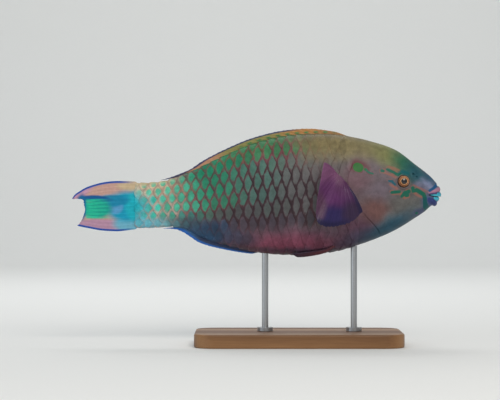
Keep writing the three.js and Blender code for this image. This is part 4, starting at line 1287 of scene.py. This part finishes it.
beakMaterial = makeBeakMaterial()
for name in ("upper", "lower"):
    rings, toEdge = beakRings(beak[name])
    points, faces = closedTube(rings)
    piece = newPiece("teeth_" + name, points, faces, beakMaterial, ("beak_" + name,))
    setAttribute(piece, "toEdge", np.concatenate([toEdge.ravel(), [0.5, 0.5]]))
print("beak set")


# Stand: the solids keep their shapes

standLook = {
    "driftMm": 33.33, "ringsMm": 5.5, "poreMm": 0.35, "woodDepth": 0.08,
    "early": "#9a7047", "late": "#6a4526",
    "brushMm": 0.12, "brushDepth": 0.02, "steel": "#b4b6b8",
}


def makeWoodMaterial():
    # planed wood rubbed with oil: the eye sees warm bands of grain along the board, fine pores, a dull gloss
    material, tree = newMaterial("oiledWoodBoard")
    place = addNode(tree, "TexCoord").outputs["Object"]
    # long grain: the pattern is stretched twelve times along the board
    long = addNode(tree, "Mapping", {"Scale": (0.08, 1.0, 1.0)}, {"Vector": place})
    drift = addNode(tree, "TexNoise", {"Scale": repeats(standLook["driftMm"]), "Detail": 3.0},
                    {"Vector": long})
    bent = addNode(tree, "VectorMath", {**multiplyAdd, 1: (0.02, 0.02, 0.02)},
                   {0: drift.outputs["Color"], 2: long})
    # the wave texture repeats about twenty times in each unit of its scale
    rings = addNode(tree, "TexWave", {
        "wave_type": "RINGS", "rings_direction": "X", "Scale": repeats(standLook["ringsMm"]) / 20,
        "Distortion": 2.0, "Detail": 2.0}, {"Vector": bent})
    fine = addNode(tree, "Mapping", {"Scale": (0.03, 1.0, 1.0)}, {"Vector": place})
    # the pores are drawn twice as coarse as real ones, so that they show
    pores = addNode(tree, "TexNoise", {"Scale": repeats(2 * standLook["poreMm"]), "Detail": 2.0},
                    {"Vector": fine})
    grain = addNode(tree, "Math", {**multiplyAdd, 1: 0.5}, {0: pores, 2: rings.outputs["Fac"]})
    bands = addNode(tree, "ValToRGB", links={0: grain})
    first, last = bands.color_ramp.elements
    first.position, first.color = 0.15, colour(standLook["early"])
    last.position, last.color = 1.0, colour(standLook["late"])
    relief = addNode(tree, "Bump", {"Strength": 0.25, "Distance": standLook["woodDepth"] * mm},
                     {"Height": grain})
    gloss = addNode(tree, "MapRange", {"From Max": 1.5, "To Min": 0.42, "To Max": 0.6}, {"Value": grain})
    finishMaterial(tree, {"IOR": 1.45}, {"Base Color": bands, "Roughness": gloss, "Normal": relief})
    return material


def makeSteelMaterial():
    # steel brushed round the rod: the eye sees fine scratches across it and a highlight drawn out along it
    material, tree = newMaterial("brushedSteelRod")
    place = addNode(tree, "TexCoord").outputs["Object"]
    fine = addNode(tree, "Mapping", {"Scale": (0.05, 0.05, 1.0)}, {"Vector": place})
    # the scratches are drawn four times as coarse as real ones, so that they show
    brush = addNode(tree, "TexNoise", {"Scale": repeats(4 * standLook["brushMm"]), "Detail": 2.0},
                    {"Vector": fine})
    tone = addNode(tree, "MapRange", {"To Min": 0.86, "To Max": 1.1}, {"Value": brush})
    layer = addNode(tree, "HueSaturation", {"Color": colour(standLook["steel"])}, {"Value": tone})
    gloss = addNode(tree, "MapRange", {"To Min": 0.24, "To Max": 0.42}, {"Value": brush})
    relief = addNode(tree, "Bump", {"Strength": 0.15, "Distance": standLook["brushDepth"] * mm},
                     {"Height": brush})
    finishMaterial(tree, {"Metallic": 1.0}, {"Base Color": layer, "Roughness": gloss, "Normal": relief})
    return material


woodMaterial = makeWoodMaterial()
steelMaterial = makeSteelMaterial()
standParts = (("stand_base", woodMaterial), ("stand_post_front", steelMaterial),
              ("stand_post_rear", steelMaterial))
for name, material in standParts:
    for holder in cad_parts[name].material_slots:
        holder.material = material
print("stand finished")


# Stage: pale floor that curves up into the backdrop, four soft lamps and a long lens

stageSet = {
    "floor": "#ececea", "deep": 1.9, "wide": 3.2, "bend": 0.5, "tall": 1.9, "front": 2.4, "grainMm": 2.5,
    "air": "#dfe6ea", "airStrength": 0.4,
}


def buildStage():
    # matt paper: the eye sees an even pale ground with a trace of grain and no gloss
    material, tree = newMaterial("mattePaperSweep")
    place = addNode(tree, "TexCoord").outputs["Object"]
    grain = addNode(tree, "TexNoise", {"Scale": repeats(stageSet["grainMm"])}, {"Vector": place})
    shade = addNode(tree, "MapRange", {"To Min": 0.98, "To Max": 1.02}, {"Value": grain})
    tone = addNode(tree, "HueSaturation", {"Color": colour(stageSet["floor"])}, {"Value": shade})
    finishMaterial(tree, {"Roughness": 0.9}, {"Base Color": tone})
    bend = np.linspace(0, np.pi / 2, 16)
    rear = stageSet["deep"] + stageSet["bend"]
    curve = stageSet["deep"] + stageSet["bend"] * np.sin(bend)
    depth = np.concatenate([[-stageSet["front"]], curve, [rear]])
    height = np.concatenate([[0], stageSet["bend"] * (1 - np.cos(bend)), [stageSet["tall"]]])
    points = [(x, y, z) for y, z in zip(depth, height) for x in (-stageSet["wide"], 0, stageSet["wide"])]
    mesh = bpy.data.meshes.new("sweep")
    mesh.from_pydata(points, [], gridFaces(len(depth), 3).tolist())
    mesh.polygons.foreach_set("use_smooth", [True] * len(mesh.polygons))
    mesh.materials.append(material)
    sweep = bpy.data.objects.new("sweep", mesh)
    scene.collection.objects.link(sweep)


def addLamp(name, place, aim, size, power, tint):
    lamp = bpy.data.lights.new(name, "AREA")
    lamp.size = size
    lamp.energy = power
    lamp.color = colour(tint)[:3]
    holder = bpy.data.objects.new(name, lamp)
    scene.collection.objects.link(holder)
    holder.location = place
    x, y, z = np.array(aim) - np.array(place)
    holder.rotation_euler = (math.atan2(math.hypot(x, y), -z), 0, math.atan2(y, x) - math.pi / 2)


camera = {
    "wide": 0.406, "away": 1.6, "sensor": 36.0,  # the photo's frame is 406 mm wide at the fish
    "aim": (-0.0053, 0.0, 0.1175),
}


def buildCamera():
    lens = bpy.data.cameras.new("longLens")
    lens.sensor_width = camera["sensor"]
    lens.lens = camera["sensor"] * camera["away"] / camera["wide"]
    lens.clip_start = 0.05
    holder = bpy.data.objects.new("longLens", lens)
    scene.collection.objects.link(holder)
    x, y, z = camera["aim"]
    holder.location = (x, y - camera["away"], z)
    holder.rotation_euler = (math.pi / 2, 0, 0)
    scene.camera = holder


def buildAir():
    # the room's even light
    world = bpy.data.worlds.new("softRoom")
    world.use_nodes = True
    background = world.node_tree.nodes["Background"]
    background.inputs[0].default_value = colour(stageSet["air"])
    background.inputs[1].default_value = stageSet["airStrength"]
    scene.world = world


buildStage()
buildCamera()
fishMiddle = (0.0, 0.0, 0.12)
addLamp("keyLamp", (0.35, -1.3, 1.05), fishMiddle, 0.8, 13.6, "#fffaf3")
addLamp("fillLamp", (-1.2, -0.9, 0.5), fishMiddle, 1.0, 4, "#eaf4ff")
addLamp("backLamp", (-0.2, 0.9, 1.2), fishMiddle, 0.8, 4, "#ffffff")
addLamp("sweepLamp", (0.0, 1.1, 1.8), (0.0, 2.3, 0.4), 1.8, 15, "#ffffff")
buildAir()
scene.view_settings.view_transform = "Standard"
print("stage set")
